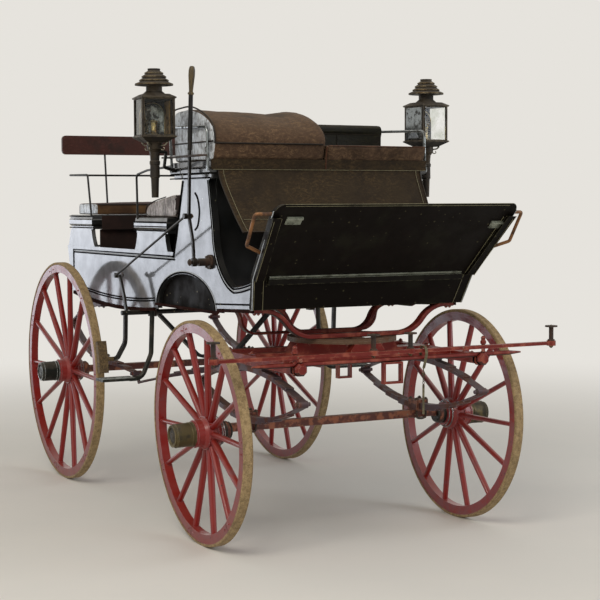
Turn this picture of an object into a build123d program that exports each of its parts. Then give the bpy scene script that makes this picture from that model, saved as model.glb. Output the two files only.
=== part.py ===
from build123d import *
import os
from math import asin, cos, radians, sin, sqrt

os.makedirs("parts", exist_ok=True)

# Main sizes in millimetres: X forward, Y left, Z up, ground at zero
REAR_AXLE_X = -1040.0
FRONT_AXLE_X = 995.0
KINGPIN_X = 1060.0
TRACK = 1411.0
REAR_RADIUS = 635.0
FRONT_RADIUS = 532.0
REAR_CAMBER = 0.66
FRONT_CAMBER = 1.66
BODY_HALF = 548.0
WALL = 28.0
INNER_HALF = BODY_HALF - WALL
SIDES = (("right", -1), ("left", 1))

# Running clearances and small gaps
FIT = 0.05
GAP = 0.3


def save(builder, name):
    """Name one piece and write it out."""
    builder.part.label = name
    export_step(builder.part, f"parts/{name}.step")


def bent_rod(points, bend, radius):
    """A round iron rod bent through its points."""
    with BuildPart() as rod:
        with BuildLine() as path:
            FilletPolyline(*points, radius=bend)
        with BuildSketch(Plane(origin=path.line @ 0, z_dir=path.line % 0)):
            Circle(radius)
        sweep()
    return rod.part


def straight_rod(start, end, radius):
    """A straight round rod from one point to another."""
    axis = Vector(*end) - Vector(*start)
    with BuildPart() as rod:
        with BuildSketch(Plane(origin=start, z_dir=axis)):
            Circle(radius)
        extrude(amount=axis.length)
    return rod.part


def bent_strap(plane, points, bend, thickness, width):
    """A flat iron bent in one plane, its width square to that plane."""
    with BuildPart() as strap:
        with BuildSketch(plane):
            with BuildLine():
                FilletPolyline(*points, radius=bend)
            trace(line_width=thickness)
        extrude(amount=width / 2, both=True)
    return strap.part


def profile_slab(plane, points, amount):
    """A slab with a straight-sided outline, extruded to both sides of its plane."""
    with BuildPart() as slab:
        with BuildSketch(plane):
            with BuildLine():
                Polyline(*points, close=True)
            make_face()
        extrude(amount=amount, both=True)
    return slab.part


def box_between(low, high):
    """A square block between two corners."""
    size = [high[i] - low[i] for i in range(3)]
    middle = tuple((high[i] + low[i]) / 2 for i in range(3))
    with BuildPart() as block:
        with Locations(middle):
            Box(*size)
    return block.part


def moulded_board(low, high, rows):
    """A board with the same moulding on all four edges, from (height, inset) rows: two crossed sections."""
    left = [(low[0] + inset, low[2] + height) for height, inset in rows]
    right = [(high[0] - inset, low[2] + height) for height, inset in reversed(rows)]
    near = [(low[1] + inset, low[2] + height) for height, inset in rows]
    far = [(high[1] - inset, low[2] + height) for height, inset in reversed(rows)]
    with BuildPart() as board:
        add(profile_slab(Plane.XZ, (*left, *right), max(abs(low[1]), abs(high[1])) + 10))
        add(profile_slab(Plane.YZ, (*near, *far), 5000), mode=Mode.INTERSECT)
    return board.part


# Wheels: each is turned about its own axle, which leans by the camber
TYRE_WIDTH = 46.0
TYRE_DEPTH = 14.0
FELLOE_WIDTH = 42.0
FELLOE_DEPTH = 44.0
SPOKES = 14
SPOKE_ROOT = -38.0
SPOKE_TIP = -4.0
NAVE_INNER = -104.0
NAVE_OUTER = 42.0
NAVE_RADIUS = 76.0
ARM_RADIUS = 19.0
CAP_OUTER = 146.0
CAP_RADIUS = 56.0
WHEELS = (
    ("rear_right", REAR_AXLE_X, REAR_RADIUS, REAR_CAMBER, -1),
    ("rear_left", REAR_AXLE_X, REAR_RADIUS, REAR_CAMBER, 1),
    ("front_right", FRONT_AXLE_X, FRONT_RADIUS, FRONT_CAMBER, -1),
    ("front_left", FRONT_AXLE_X, FRONT_RADIUS, FRONT_CAMBER, 1),
)


def wheel_plane(x, radius, camber, side):
    """The middle plane of a rim, its Z axis pointing out along the axle."""
    lean = radians(camber)
    centre = (x, side * (TRACK / 2 + radius * sin(lean)), radius * cos(lean))
    outward = (0, side * cos(lean), -sin(lean))
    return Plane(origin=centre, x_dir=(1, 0, 0), z_dir=outward)


def ring_solid(plane, outer, inner, low, high):
    """A plain ring round an axle."""
    with BuildPart() as ring:
        with BuildSketch(plane.offset(low)):
            Circle(outer)
            Circle(inner, mode=Mode.SUBTRACT)
        extrude(amount=high - low)
    return ring.part


def turned(plane, profile):
    """A solid turned round the plane's Z axis from (radius, height) points."""
    turning = Plane(origin=plane.origin, x_dir=plane.x_dir, z_dir=-plane.y_dir)
    with BuildPart() as solid:
        with BuildSketch(turning):
            with BuildLine():
                Polyline(*profile, close=True)
            make_face()
        revolve(axis=Axis(plane.origin, plane.z_dir))
    return solid.part


def spoke(plane, radius):
    """One oval spoke from the nave to the felloe, leaning out with the dish."""
    root_radius = NAVE_RADIUS - 12
    tip_radius = radius - TYRE_DEPTH - FELLOE_DEPTH + 4
    root = plane.origin + plane.y_dir * root_radius + plane.z_dir * SPOKE_ROOT
    tip = plane.origin + plane.y_dir * tip_radius + plane.z_dir * SPOKE_TIP
    with BuildPart() as one:
        for point, across, along in ((root, 13, 19), (tip, 11, 15)):
            with BuildSketch(Plane(origin=point, x_dir=plane.x_dir, z_dir=plane.y_dir)):
                Ellipse(across, along)
        loft()
    return one.part


for name, x, radius, camber, side in WHEELS:
    plane = wheel_plane(x, radius, camber, side)
    felloe_outer = radius - TYRE_DEPTH
    felloe = ring_solid(
        plane,
        felloe_outer,
        felloe_outer - FELLOE_DEPTH,
        -FELLOE_WIDTH / 2,
        FELLOE_WIDTH / 2,
    )
    bore = ARM_RADIUS + FIT
    nave = turned(
        plane,
        (
            (bore, NAVE_INNER),
            (58, NAVE_INNER),
            (62, NAVE_INNER + 22),
            (NAVE_RADIUS, SPOKE_ROOT - 26),
            (NAVE_RADIUS, SPOKE_ROOT + 26),
            (66, 2),
            (62, NAVE_OUTER),
            (bore, NAVE_OUTER),
        ),
    )
    blade = spoke(plane, radius)
    axle_line = Axis(plane.origin, plane.z_dir)
    with BuildPart() as wheel:
        add(felloe)
        add(nave)
        for turn in range(SPOKES):
            add(blade.rotate(axle_line, (turn + 0.5) * 360 / SPOKES))
        with BuildSketch(plane.offset(NAVE_INNER)):
            Circle(bore)
        extrude(amount=NAVE_OUTER - NAVE_INNER, mode=Mode.SUBTRACT)
    save(wheel, f"{name}_wheel")

    with BuildPart() as tyre:
        add(ring_solid(plane, radius, felloe_outer, -TYRE_WIDTH / 2, TYRE_WIDTH / 2))
        outer_rims = tyre.edges().filter_by(GeomType.CIRCLE).group_by(SortBy.RADIUS)[-1]
        chamfer(outer_rims, 4)
    save(tyre, f"{name}_tyre")

    with BuildPart() as hub_cap:
        add(
            turned(
                plane,
                (
                    (30, NAVE_OUTER),
                    (CAP_RADIUS, NAVE_OUTER),
                    (CAP_RADIUS, CAP_OUTER - 14),
                    (CAP_RADIUS - 4, CAP_OUTER - 8),
                    (CAP_RADIUS - 4, CAP_OUTER),
                    (CAP_RADIUS - 14, CAP_OUTER),
                    (CAP_RADIUS - 16, CAP_OUTER - 6),
                    (0, CAP_OUTER - 6),
                    (0, CAP_OUTER - 14),
                    (30, CAP_OUTER - 14),
                ),
            )
        )
    save(hub_cap, f"{name}_hub_cap")

# Axles: a square beam with round arms that lean with the wheels, and collars
AXLE_SIZE = 38.0
BEAM_HALF = 590.0
COLLAR_RADIUS = 46.0
REAR_BEAM_Z = 637.0
FRONT_BEAM_Z = 548.0


def axle(x, radius, camber, beam_z):
    """One axle with its two arms, which are the knuckles that carry the wheels."""
    half = AXLE_SIZE / 2
    with BuildPart() as piece:
        with Locations((x, 0, beam_z)):
            Box(AXLE_SIZE, 2 * BEAM_HALF, AXLE_SIZE)
        for _, side in SIDES:
            plane = wheel_plane(x, radius, camber, side)
            arm_end = NAVE_OUTER + 50
            add(turned(plane, ((0, -150), (ARM_RADIUS, -150), (ARM_RADIUS, arm_end), (0, arm_end))))
            collar_out = NAVE_INNER - GAP
            add(
                turned(
                    plane,
                    (
                        (0, collar_out - 40),
                        (COLLAR_RADIUS - 10, collar_out - 40),
                        (COLLAR_RADIUS, collar_out - 28),
                        (COLLAR_RADIUS, collar_out),
                        (0, collar_out),
                    ),
                )
            )
            add(turned(plane, ((0, arm_end), (26, arm_end), (26, arm_end + 14), (0, arm_end + 14))))
    return piece


rear_axle = axle(REAR_AXLE_X, REAR_RADIUS, REAR_CAMBER, REAR_BEAM_Z)
save(rear_axle, "rear_axle")
front_axle = axle(FRONT_AXLE_X, FRONT_RADIUS, FRONT_CAMBER, FRONT_BEAM_Z)
save(front_axle, "front_axle")

# Leaf springs
LEAF = 8.0
LEAF_WIDTH = 42.0
SPRING_Y = 474.0
EYE_RADIUS = 17.0


def leaf_arc(plane, eye, crown, leaves, width):
    """Half a leaf pack: leaves stacked on the outside of an arc from its eye to its level crown."""
    run = crown[0] - eye[0]
    rise = crown[1] - eye[1]
    up = 1 if rise > 0 else -1
    radius = (run * run + rise * rise) / (2 * abs(rise))
    centre = (crown[0], crown[1] - up * radius)
    reach = asin(abs(run) / radius)
    toward = -1 if run > 0 else 1
    with BuildPart() as pack:
        for leaf in range(leaves):
            inner = radius + leaf * LEAF
            outer = inner + LEAF
            end = reach * (1 - 0.23 * leaf)
            with BuildSketch(plane):
                with BuildLine():
                    corners = []
                    for ring in (inner, outer):
                        for angle in (0, end / 2, end):
                            across = centre[0] + toward * ring * sin(angle)
                            height = centre[1] + up * ring * cos(angle)
                            corners.append((across, height))
                    ThreePointArc(corners[0], corners[1], corners[2])
                    Line(corners[2], corners[5])
                    ThreePointArc(corners[5], corners[4], corners[3])
                    Line(corners[3], corners[0])
                make_face()
            extrude(amount=width / 2, both=True)
    return pack.part


def eye_roll(plane, point, width):
    """A rolled spring eye with its bolt."""
    with BuildPart() as roll:
        with BuildSketch(plane):
            with Locations(point):
                Circle(EYE_RADIUS)
        extrude(amount=width / 2, both=True)
        with BuildSketch(plane):
            with Locations(point):
                Circle(EYE_RADIUS * 0.55)
        extrude(amount=width / 2 + 14, both=True)
    return roll.part


# Front springs: full ellipses between the axle and the bed timbers
FRONT_SPRING_X = FRONT_AXLE_X + 15
FRONT_SPRING_HALF = 550.0
FRONT_EYE_Z = 716.0
FRONT_SEAT_Z = FRONT_BEAM_Z + AXLE_SIZE / 2 + 4
FUTCHELL_LOW = 848.0
PACK = 4 * LEAF

with BuildPart() as front_springs:
    for _, side in SIDES:
        plane = Plane.XZ.offset(-side * SPRING_Y)
        for toward in (-1, 1):
            eye_x = FRONT_SPRING_X + toward * FRONT_SPRING_HALF
            low_crown = (FRONT_SPRING_X, FRONT_SEAT_Z + PACK)
            high_crown = (FRONT_SPRING_X, FUTCHELL_LOW - GAP - PACK)
            add(leaf_arc(plane, (eye_x, FRONT_EYE_Z - 8), low_crown, 4, LEAF_WIDTH))
            add(leaf_arc(plane, (eye_x, FRONT_EYE_Z + 8), high_crown, 4, LEAF_WIDTH))
            add(eye_roll(plane, (eye_x, FRONT_EYE_Z), LEAF_WIDTH + 6))
save(front_springs, "front_springs")

# Clamps that hold the front springs down on the axle
with BuildPart() as front_spring_clamps:
    for _, side in SIDES:
        low = (FRONT_AXLE_X - 40, side * SPRING_Y - 34, FRONT_BEAM_Z + AXLE_SIZE / 2 + GAP)
        high = (FRONT_AXLE_X + 40, side * SPRING_Y + 34, FRONT_SEAT_Z + PACK + LEAF + 8)
        add(box_between(low, high))
    add(front_springs.part, mode=Mode.SUBTRACT)
save(front_spring_clamps, "front_spring_clamps")

# Fore-carriage timbers: two futchells on the springs, cross beds and the transom under the kingpin
FUTCHELL = 46.0
FUTCHELL_Y = 482.0
FUTCHELL_REAR = 560.0
FUTCHELL_FRONT = 1582.0
# Each row of a futchell head: start behind its tip, length, radius across corners and taper
FUTCHELL_HEAD = (
    (-62.0, 14.0, 31.0, 0.0),
    (-48.0, 10.0, 24.0, 0.0),
    (-38.0, 26.0, 30.0, 0.0),
    (-12.0, 12.0, 30.0, 35.0),
)
RING_LOW = 946.0
RING_RADIUS = 265.0
BED_TOP = RING_LOW - GAP
PIN_RADIUS = 16.0
KINGPIN_LOW = 872.0
# Each bed: place from the kingpin, thickness and half the width of its raised middle
BEDS = ((-250.0, 46.0, 70.0), (0.0, 80.0, 262.0), (235.0, 46.0, 70.0))
BED_LOW = FUTCHELL_LOW + 20
BED_END = FUTCHELL_LOW + FUTCHELL + 6
BED_RAMP = 30.0

with BuildPart() as fore_bed:
    for _, side in SIDES:
        low_y = side * FUTCHELL_Y - FUTCHELL / 2
        high_y = side * FUTCHELL_Y + FUTCHELL / 2
        low = (FUTCHELL_REAR, low_y, FUTCHELL_LOW)
        high = (FUTCHELL_FRONT - 40, high_y, FUTCHELL_LOW + FUTCHELL)
        add(box_between(low, high))
        for start, length, across, nose in FUTCHELL_HEAD:
            with BuildSketch(Plane.YZ.offset(FUTCHELL_FRONT + start)):
                with Locations((side * FUTCHELL_Y, FUTCHELL_LOW + FUTCHELL / 2)):
                    RegularPolygon(radius=across, side_count=8, rotation=22.5)
            extrude(amount=length, taper=nose)
    for shift, thick, raised in BEDS:
        with BuildSketch(Plane.YZ.offset(KINGPIN_X + shift - thick / 2)):
            with BuildLine():
                Polyline(
                    (-FUTCHELL_Y, BED_LOW),
                    (FUTCHELL_Y, BED_LOW),
                    (FUTCHELL_Y, BED_END),
                    (raised + BED_RAMP, BED_END),
                    (raised, BED_TOP),
                    (-raised, BED_TOP),
                    (-raised - BED_RAMP, BED_END),
                    (-FUTCHELL_Y, BED_END),
                    close=True,
                )
            make_face()
        extrude(amount=thick)
    with Locations((KINGPIN_X, 0, KINGPIN_LOW - 20)):
        Cylinder(PIN_RADIUS + FIT, 200, mode=Mode.SUBTRACT)
save(fore_bed, "fore_bed")

# Turntable: a lower ring on the beds and an upper ring under the body irons
RING_THICK = 11.0
RING_TOP = RING_LOW + 2 * RING_THICK + GAP
RING_WIDTH = 46.0


def ring_plate(low):
    """A flat ring with a cross web and a boss for the kingpin."""
    with BuildPart() as plate:
        with BuildSketch(Plane.XY.offset(low)):
            with Locations((KINGPIN_X, 0)):
                Circle(RING_RADIUS)
                Circle(RING_RADIUS - RING_WIDTH, mode=Mode.SUBTRACT)
                Rectangle(2 * RING_RADIUS - 20, 60)
                Circle(58)
        extrude(amount=RING_THICK)
    return plate.part


with BuildPart() as lower_ring:
    add(ring_plate(RING_LOW))
    with Locations((KINGPIN_X, 0, RING_LOW)):
        Cylinder(PIN_RADIUS + FIT, 60, mode=Mode.SUBTRACT)
save(lower_ring, "lower_ring")

with BuildPart() as upper_ring:
    add(ring_plate(RING_LOW + RING_THICK + GAP))
    with Locations((KINGPIN_X, 0, KINGPIN_LOW)):
        Cylinder(PIN_RADIUS, RING_TOP - KINGPIN_LOW, align=(Align.CENTER, Align.CENTER, Align.MIN))
save(upper_ring, "upper_ring")

# Splinter bar, the pointed bar below it, their pillars and the roller bolts
BAR_X = 1540.0
SPLINTER_Z = 926.0
SPLINTER_HALF = 905.0
LOWER_BAR_Z = SPLINTER_Z - 34.0
LOWER_HALF = SPLINTER_HALF - 193.0
BAR_THICK = 16.0
BAR_DEEP = 36.0
LOWER_BAR_RADIUS = 11.0
LOWER_POINT = 70.0
ROLLER_OUTER = SPLINTER_HALF - 12.0
ROLLER_Y = (-ROLLER_OUTER, -98.0, 98.0, ROLLER_OUTER)
PILLAR_Y = 499.0

with BuildPart() as splinter_bars:
    half = SPLINTER_HALF
    with BuildSketch(Plane.XY.offset(SPLINTER_Z - BAR_THICK / 2)):
        with BuildLine():
            Polyline(
                (BAR_X - BAR_DEEP / 2, 0),
                (BAR_X - BAR_DEEP / 3, half),
                (BAR_X + BAR_DEEP / 3, half),
                (BAR_X + BAR_DEEP / 2, 0),
                (BAR_X + BAR_DEEP / 3, -half),
                (BAR_X - BAR_DEEP / 3, -half),
                close=True,
            )
        make_face()
    extrude(amount=BAR_THICK)
    for y in ROLLER_Y:
        with Locations((BAR_X, y, SPLINTER_Z)):
            Cylinder(22, BAR_THICK + 8)
    for side in (-1, 1):
        with BuildSketch(Plane(origin=(BAR_X, 0, LOWER_BAR_Z), z_dir=(0, side, 0))):
            Circle(LOWER_BAR_RADIUS)
        extrude(amount=LOWER_HALF - LOWER_POINT)
        for reach, tip_radius in ((LOWER_HALF - LOWER_POINT, LOWER_BAR_RADIUS), (LOWER_HALF, 4)):
            with BuildSketch(Plane(origin=(BAR_X, side * reach, LOWER_BAR_Z), z_dir=(0, side, 0))):
                Circle(tip_radius)
        loft()
    add(fore_bed.part, mode=Mode.SUBTRACT)
save(splinter_bars, "splinter_bars")

with BuildPart() as roller_bolts:
    for y in ROLLER_Y:
        base = SPLINTER_Z + BAR_THICK / 2 + 4 + GAP
        with Locations((BAR_X, y, base)):
            Cylinder(17, 6, align=(Align.CENTER, Align.CENTER, Align.MIN))
            Cylinder(11, 72, align=(Align.CENTER, Align.CENTER, Align.MIN))
        with Locations((BAR_X, y, base + 66)):
            Cylinder(30, 7, align=(Align.CENTER, Align.CENTER, Align.MIN))
save(roller_bolts, "roller_bolts")

# Pole sockets: an open loop at the front and a smaller one under the transom
POLE_SOCKET = 82.0
SOCKET_WALL = 9.0
POLE_PIN = 7.0
SOCKETS = (
    ("front", BAR_X, LOWER_BAR_Z - LOWER_BAR_RADIUS, POLE_SOCKET, 30.0),
    ("rear", KINGPIN_X + 20, FUTCHELL_LOW - 12, POLE_SOCKET * 0.7, 30.0),
)
with BuildPart() as pole_sockets:
    for _, x, top, opening, depth in SOCKETS:
        wide = opening + 2 * SOCKET_WALL
        with Locations((x, 0, top - GAP)):
            Box(depth, wide, wide, align=(Align.CENTER, Align.CENTER, Align.MAX))
        with Locations((x, 0, top - GAP - SOCKET_WALL)):
            Box(
                depth + 2,
                opening,
                opening,
                align=(Align.CENTER, Align.CENTER, Align.MAX),
                mode=Mode.SUBTRACT,
            )
    with Locations((BAR_X, 0, 780)):
        Cylinder(POLE_PIN, 60, mode=Mode.SUBTRACT)
    for side in (-1, 1):
        low = (KINGPIN_X + 5, side * 33 - 4, FUTCHELL_LOW - 14)
        high = (KINGPIN_X + 35, side * 33 + 4, FUTCHELL_LOW + 20 - GAP)
        add(box_between(low, high))
save(pole_sockets, "pole_sockets")

# Each row of a turned bar pillar: height and radius
PILLAR_ROWS = (
    (0, 13),
    (8, 13),
    (10, 9),
    (42, 9),
    (46, 14),
    (58, 14),
    (62, 10),
    (68, 10),
    (72, 12),
    (78, 9),
    (82, 5),
)
with BuildPart() as bar_pillars:
    for _, side in SIDES:
        foot = Plane(origin=(BAR_X, side * PILLAR_Y, LOWER_BAR_Z + 4))
        outline = [(radius, height) for height, radius in PILLAR_ROWS]
        add(turned(foot, ((0, 0), *outline, (0, PILLAR_ROWS[-1][0]))))
    for other in (fore_bed, splinter_bars):
        add(other.part, mode=Mode.SUBTRACT)
save(bar_pillars, "bar_pillars")

# Body sides: a low panel behind, the pillar of the box seat, and the scooped leg opening in front
REAR_TOP = (-1440.0, 1360.0)
REAR_BOTTOM = (-1360.0, 1086.0)
SILL_LOW = (-690.0, 1037.0)
SILL_MID = (32.0, 1058.0)
RAIL_FRONT = (270.0, 1360.0)
PILLAR_REAR = (390.0, 1728.0)
PILLAR_FRONT = (735.0, 1728.0)
SILL_FRONT_LOW = (788.0, 1100.0)
BOARD_FOOT = (1220.4, 1121.0)
BOARD_KINK = (1286.6, 1268.0)
ARCH_X = 410.0
ARCH_Z = 1078.0
ARCH_HALF = 378.0
ARCH_RISE = 175.0
ARCH_PANEL = 10.0
ARCH_LAP = 24.0


def side_outline():
    """The outline of a body side, drawn once and used for both."""
    ThreePointArc(REAR_BOTTOM, SILL_LOW, SILL_MID)
    Line(SILL_MID, SILL_FRONT_LOW)
    Line(SILL_FRONT_LOW, BOARD_FOOT)
    Line(BOARD_FOOT, BOARD_KINK)
    ThreePointArc(BOARD_KINK, (1130, 1226), (1005, 1210))
    ThreePointArc((1005, 1210), (850, 1305), (785, 1480))
    Line((785, 1480), PILLAR_FRONT)
    Line(PILLAR_FRONT, PILLAR_REAR)
    Line(PILLAR_REAR, (292, 1430))
    Line((292, 1430), RAIL_FRONT)
    Line(RAIL_FRONT, REAR_TOP)
    Line(REAR_TOP, REAR_BOTTOM)


body_sides = []
for side_name, side in SIDES:
    with BuildPart() as body_side:
        with BuildSketch(Plane.XZ.offset(-side * (BODY_HALF - WALL / 2))):
            with BuildLine():
                side_outline()
            make_face()
            with Locations((ARCH_X, ARCH_Z)):
                Ellipse(ARCH_HALF, ARCH_RISE, mode=Mode.SUBTRACT)
        extrude(amount=WALL / 2, both=True)
    save(body_side, f"body_side_{side_name}")
    body_sides.append(body_side)

# Dark panels that back the shallow wheel recesses in the sides
with BuildPart() as arch_panels:
    for _, side in SIDES:
        middle = side * (INNER_HALF - ARCH_PANEL / 2 - GAP)
        with BuildSketch(Plane.XZ.offset(-middle)):
            with Locations((ARCH_X, ARCH_Z)):
                Ellipse(ARCH_HALF + ARCH_LAP, ARCH_RISE + ARCH_LAP)
        extrude(amount=ARCH_PANEL / 2, both=True)
    low = (ARCH_X - 500, -BODY_HALF, ARCH_Z - 300)
    high = (ARCH_X + 500, BODY_HALF, ARCH_Z)
    add(box_between(low, high), mode=Mode.SUBTRACT)
save(arch_panels, "arch_panels")

# Floor between the sides
FLOOR = 22.0
with BuildPart() as body_floor:
    with BuildSketch(Plane.XZ):
        with BuildLine():
            ThreePointArc((-1352, 1098), (-690, 1049), (32, 1070))
            Line((32, 1070), (788, 1112))
            Line((788, 1112), (1200, 1131))
            Line((1200, 1131), (1200, 1131 + FLOOR))
            Line((1200, 1131 + FLOOR), (788, 1112 + FLOOR))
            Line((788, 1112 + FLOOR), (32, 1070 + FLOOR))
            ThreePointArc((32, 1070 + FLOOR), (-690, 1049 + FLOOR), (-1352, 1098 + FLOOR))
            Line((-1352, 1098 + FLOOR), (-1352, 1098))
        make_face()
    extrude(amount=INNER_HALF - GAP, both=True)
    add(arch_panels.part, mode=Mode.SUBTRACT)
save(body_floor, "body_floor")

# Tail panel at the back
TAIL = 20.0
with BuildPart() as tail_panel:
    add(
        profile_slab(
            Plane.XZ,
            ((-1362 + 1, 1122), (-1362 + 1 + TAIL, 1122), (-1440 + 1 + TAIL, 1358), (-1440 + 1, 1358)),
            INNER_HALF - GAP,
        )
    )
    add(body_floor.part, mode=Mode.SUBTRACT)
save(tail_panel, "tail_panel")

# Boot panels that close the box seat in front and behind, and the toe floor
BOOT = 18.0
BOOT_FRONT = PILLAR_FRONT[0]
SEAT_BASE_Z = PILLAR_FRONT[1]
with BuildPart() as boot_panels:
    add(box_between((BOOT_FRONT, -INNER_HALF + GAP, 1080), (BOOT_FRONT + BOOT, INNER_HALF - GAP, 1728)))
    under_toe = ((600, 1000), (900, 1000), (900, 1140.5), (600, 1124))
    add(profile_slab(Plane.XZ, under_toe, 600), mode=Mode.SUBTRACT)
    add(
        profile_slab(
            Plane.XZ,
            (
                (286, 1107),
                (286 + BOOT, 1108),
                (286 + BOOT, 1370),
                (392 + BOOT, SEAT_BASE_Z - GAP),
                (392, SEAT_BASE_Z - GAP),
                (286, 1370),
            ),
            INNER_HALF - GAP,
        )
    )
    add(arch_panels.part, mode=Mode.SUBTRACT)
    add(body_floor.part, mode=Mode.SUBTRACT)
save(boot_panels, "boot_panels")

with BuildPart() as toe_floor:
    add(
        profile_slab(
            Plane.XZ,
            (
                (BOOT_FRONT + BOOT + GAP, 1190),
                (1252, 1190),
                (1262, 1212),
                (BOOT_FRONT + BOOT + GAP, 1205),
            ),
            INNER_HALF - GAP,
        )
    )
save(toe_floor, "toe_floor")

# Footboard: a short upright board below, a sloping board above with rounded top corners
BOARD = 24.0
FOOT = (1246.0, 1118.0)
KINK = (1311.0, 1262.0)
TOP = (1648.0, 1603.0)
FOOT_HALF = 568.0
KINK_HALF = 592.0
TOP_HALF = 640.0
LEDGE = 18.0
LEDGE_WIDTH = 46.0
LEDGE_END = 62.0


def along_normal(low, high, amount):
    """The X and Z shift of a board's face when it moves out along its normal."""
    run, rise = high[0] - low[0], high[1] - low[1]
    length = sqrt(run * run + rise * rise)
    return amount * rise / length, -amount * run / length


def board_profile(low_shift, high_shift):
    """The kinked section of the footboard between two distances from its front face."""
    lower_near, lower_far = (along_normal(FOOT, KINK, shift) for shift in (low_shift, high_shift))
    upper_near, upper_far = (along_normal(KINK, TOP, shift) for shift in (low_shift, high_shift))
    return (
        (FOOT[0] + lower_near[0], FOOT[1] + lower_near[1]),
        (FOOT[0] + lower_far[0], FOOT[1] + lower_far[1]),
        (KINK[0] + upper_far[0], KINK[1] + upper_far[1]),
        (TOP[0] + upper_far[0], TOP[1] + upper_far[1]),
        (TOP[0] + upper_near[0], TOP[1] + upper_near[1]),
        (KINK[0] + upper_near[0], KINK[1] + upper_near[1]),
    )


def side_edge(inset):
    """The right-hand edge of the board seen from in front, moved in from the real edge."""
    return (
        (FOOT_HALF - inset, FOOT[1] - BOARD),
        (KINK_HALF - inset, KINK[1]),
        (TOP_HALF - inset, TOP[1] + BOARD),
    )


def front_outline(inset_out, inset_in, top):
    """A strip between two side edges, cut off level at a height."""
    outer = side_edge(inset_out)
    inner = side_edge(inset_in)
    return (*outer[:2], (outer[2][0], top), (inner[2][0], top), inner[1], inner[0])


with BuildPart() as side_ledges:
    add(profile_slab(Plane.XZ, board_profile(-BOARD / 2, LEDGE), TOP_HALF))
    with BuildPart(mode=Mode.PRIVATE) as ledge_outline:
        for side in (-1, 1):
            strip = front_outline(3, LEDGE_WIDTH, TOP[1] - LEDGE_END)
            add(profile_slab(Plane.YZ, [(side * y, z) for y, z in strip], 2000))
        add(box_between((1000, -TOP_HALF, 1000), (2000, TOP_HALF, KINK[1] - 6)), mode=Mode.SUBTRACT)
    add(ledge_outline.part, mode=Mode.INTERSECT)

with BuildPart() as footboard:
    add(profile_slab(Plane.XZ, board_profile(-BOARD, 0), TOP_HALF + BOARD))
    with BuildSketch(Plane.YZ) as board_front:
        with BuildLine():
            right = side_edge(0)
            left = [(-y, z) for y, z in reversed(right)]
            Polyline(*right[:2], (TOP_HALF, TOP[1]), (-TOP_HALF, TOP[1]), *left[1:], close=True)
        make_face()
        fillet(board_front.vertices().group_by(Axis.Y)[-1], 46)
    extrude(amount=2000, both=True, mode=Mode.INTERSECT)
    add(side_ledges.part)
    with BuildSketch(Plane.XZ):
        with Locations((KINK[0] + 6, KINK[1] - 12)):
            Rectangle(20, 26)
    extrude(amount=KINK_HALF - 70, both=True)
save(footboard, "footboard")

with BuildPart() as footboard_handles:
    for _, side in SIDES:
        add(
            bent_rod(
                (
                    (1416.7, side * 602, 1386),
                    (1467, side * 697, 1421),
                    (1563, side * 700, 1561),
                    (1588.7, side * 616, 1560),
                ),
                16,
                8,
            )
        )
    add(footboard.part, mode=Mode.SUBTRACT)
save(footboard_handles, "footboard_handles")

# Box seat: a moulded board that overhangs the pillars in front
SEAT_HALF = 604.0
SEAT_REAR = 366.0
SEAT_FRONT = 860.0
SEAT_LOW = PILLAR_FRONT[1] + GAP
SEAT_TOP = 1812.0
# Each row of a board's moulding: height and inset
SEAT_ROWS = ((0, 16), (20, 16), (26, 4), (30, 0), (50, 0), (54, 4), (58, 10), (84 - GAP, 10))
with BuildPart() as box_seat_board:
    add(moulded_board((SEAT_REAR, -SEAT_HALF, SEAT_LOW), (SEAT_FRONT, SEAT_HALF, SEAT_TOP), SEAT_ROWS))
save(box_seat_board, "box_seat_board")

# The driver's wedge cushion, its roll rounded off at the inner end, and the passenger's lower seat
CUSHION_LOW = SEAT_TOP + GAP
CUSHION_END = SEAT_HALF - 8
SEAM_Z = 1894.0
ROLL_TOP = 2090.0
PARTING_Y = 17.0
with BuildPart() as driver_cushion:
    with BuildSketch(Plane.XZ):
        with BuildLine():
            Polyline((392, CUSHION_LOW), (SEAT_FRONT + 2, CUSHION_LOW), (888, SEAM_Z))
            ThreePointArc((888, SEAM_Z), (850, 1998), (700, 2064))
            ThreePointArc((700, 2064), (560, 2084), (430, 2068))
            ThreePointArc((430, 2068), (398, 2052), (388, 2024))
            Line((388, 2024), (392, CUSHION_LOW))
        make_face()
    extrude(amount=CUSHION_END, both=True)
    with BuildSketch(Plane.YZ):
        with BuildLine():
            Polyline((-150, ROLL_TOP), (-CUSHION_END, ROLL_TOP), (-CUSHION_END, CUSHION_LOW))
            Polyline((-CUSHION_END, CUSHION_LOW), (PARTING_Y, CUSHION_LOW), (PARTING_Y, SEAM_Z))
            ThreePointArc((PARTING_Y, SEAM_Z), (-38, 2036), (-150, ROLL_TOP))
        make_face()
    extrude(amount=2000, both=True, mode=Mode.INTERSECT)
save(driver_cushion, "driver_cushion")

with BuildPart() as passenger_cushion:
    low_y = PARTING_Y + 2
    add(
        profile_slab(
            Plane.XZ.offset(-(CUSHION_END + low_y) / 2),
            ((450, CUSHION_LOW), (SEAT_FRONT + 2, CUSHION_LOW), (888, 1886), (450, 1896)),
            (CUSHION_END - low_y) / 2,
        )
    )
save(passenger_cushion, "passenger_cushion")

with BuildPart() as passenger_back:
    add(box_between((400, PARTING_Y + 7, CUSHION_LOW), (432, 590, 2020)))
    fillet(passenger_back.edges().filter_by(Axis.X).group_by(Axis.Z)[-1], 30)
save(passenger_back, "passenger_back")

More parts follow.
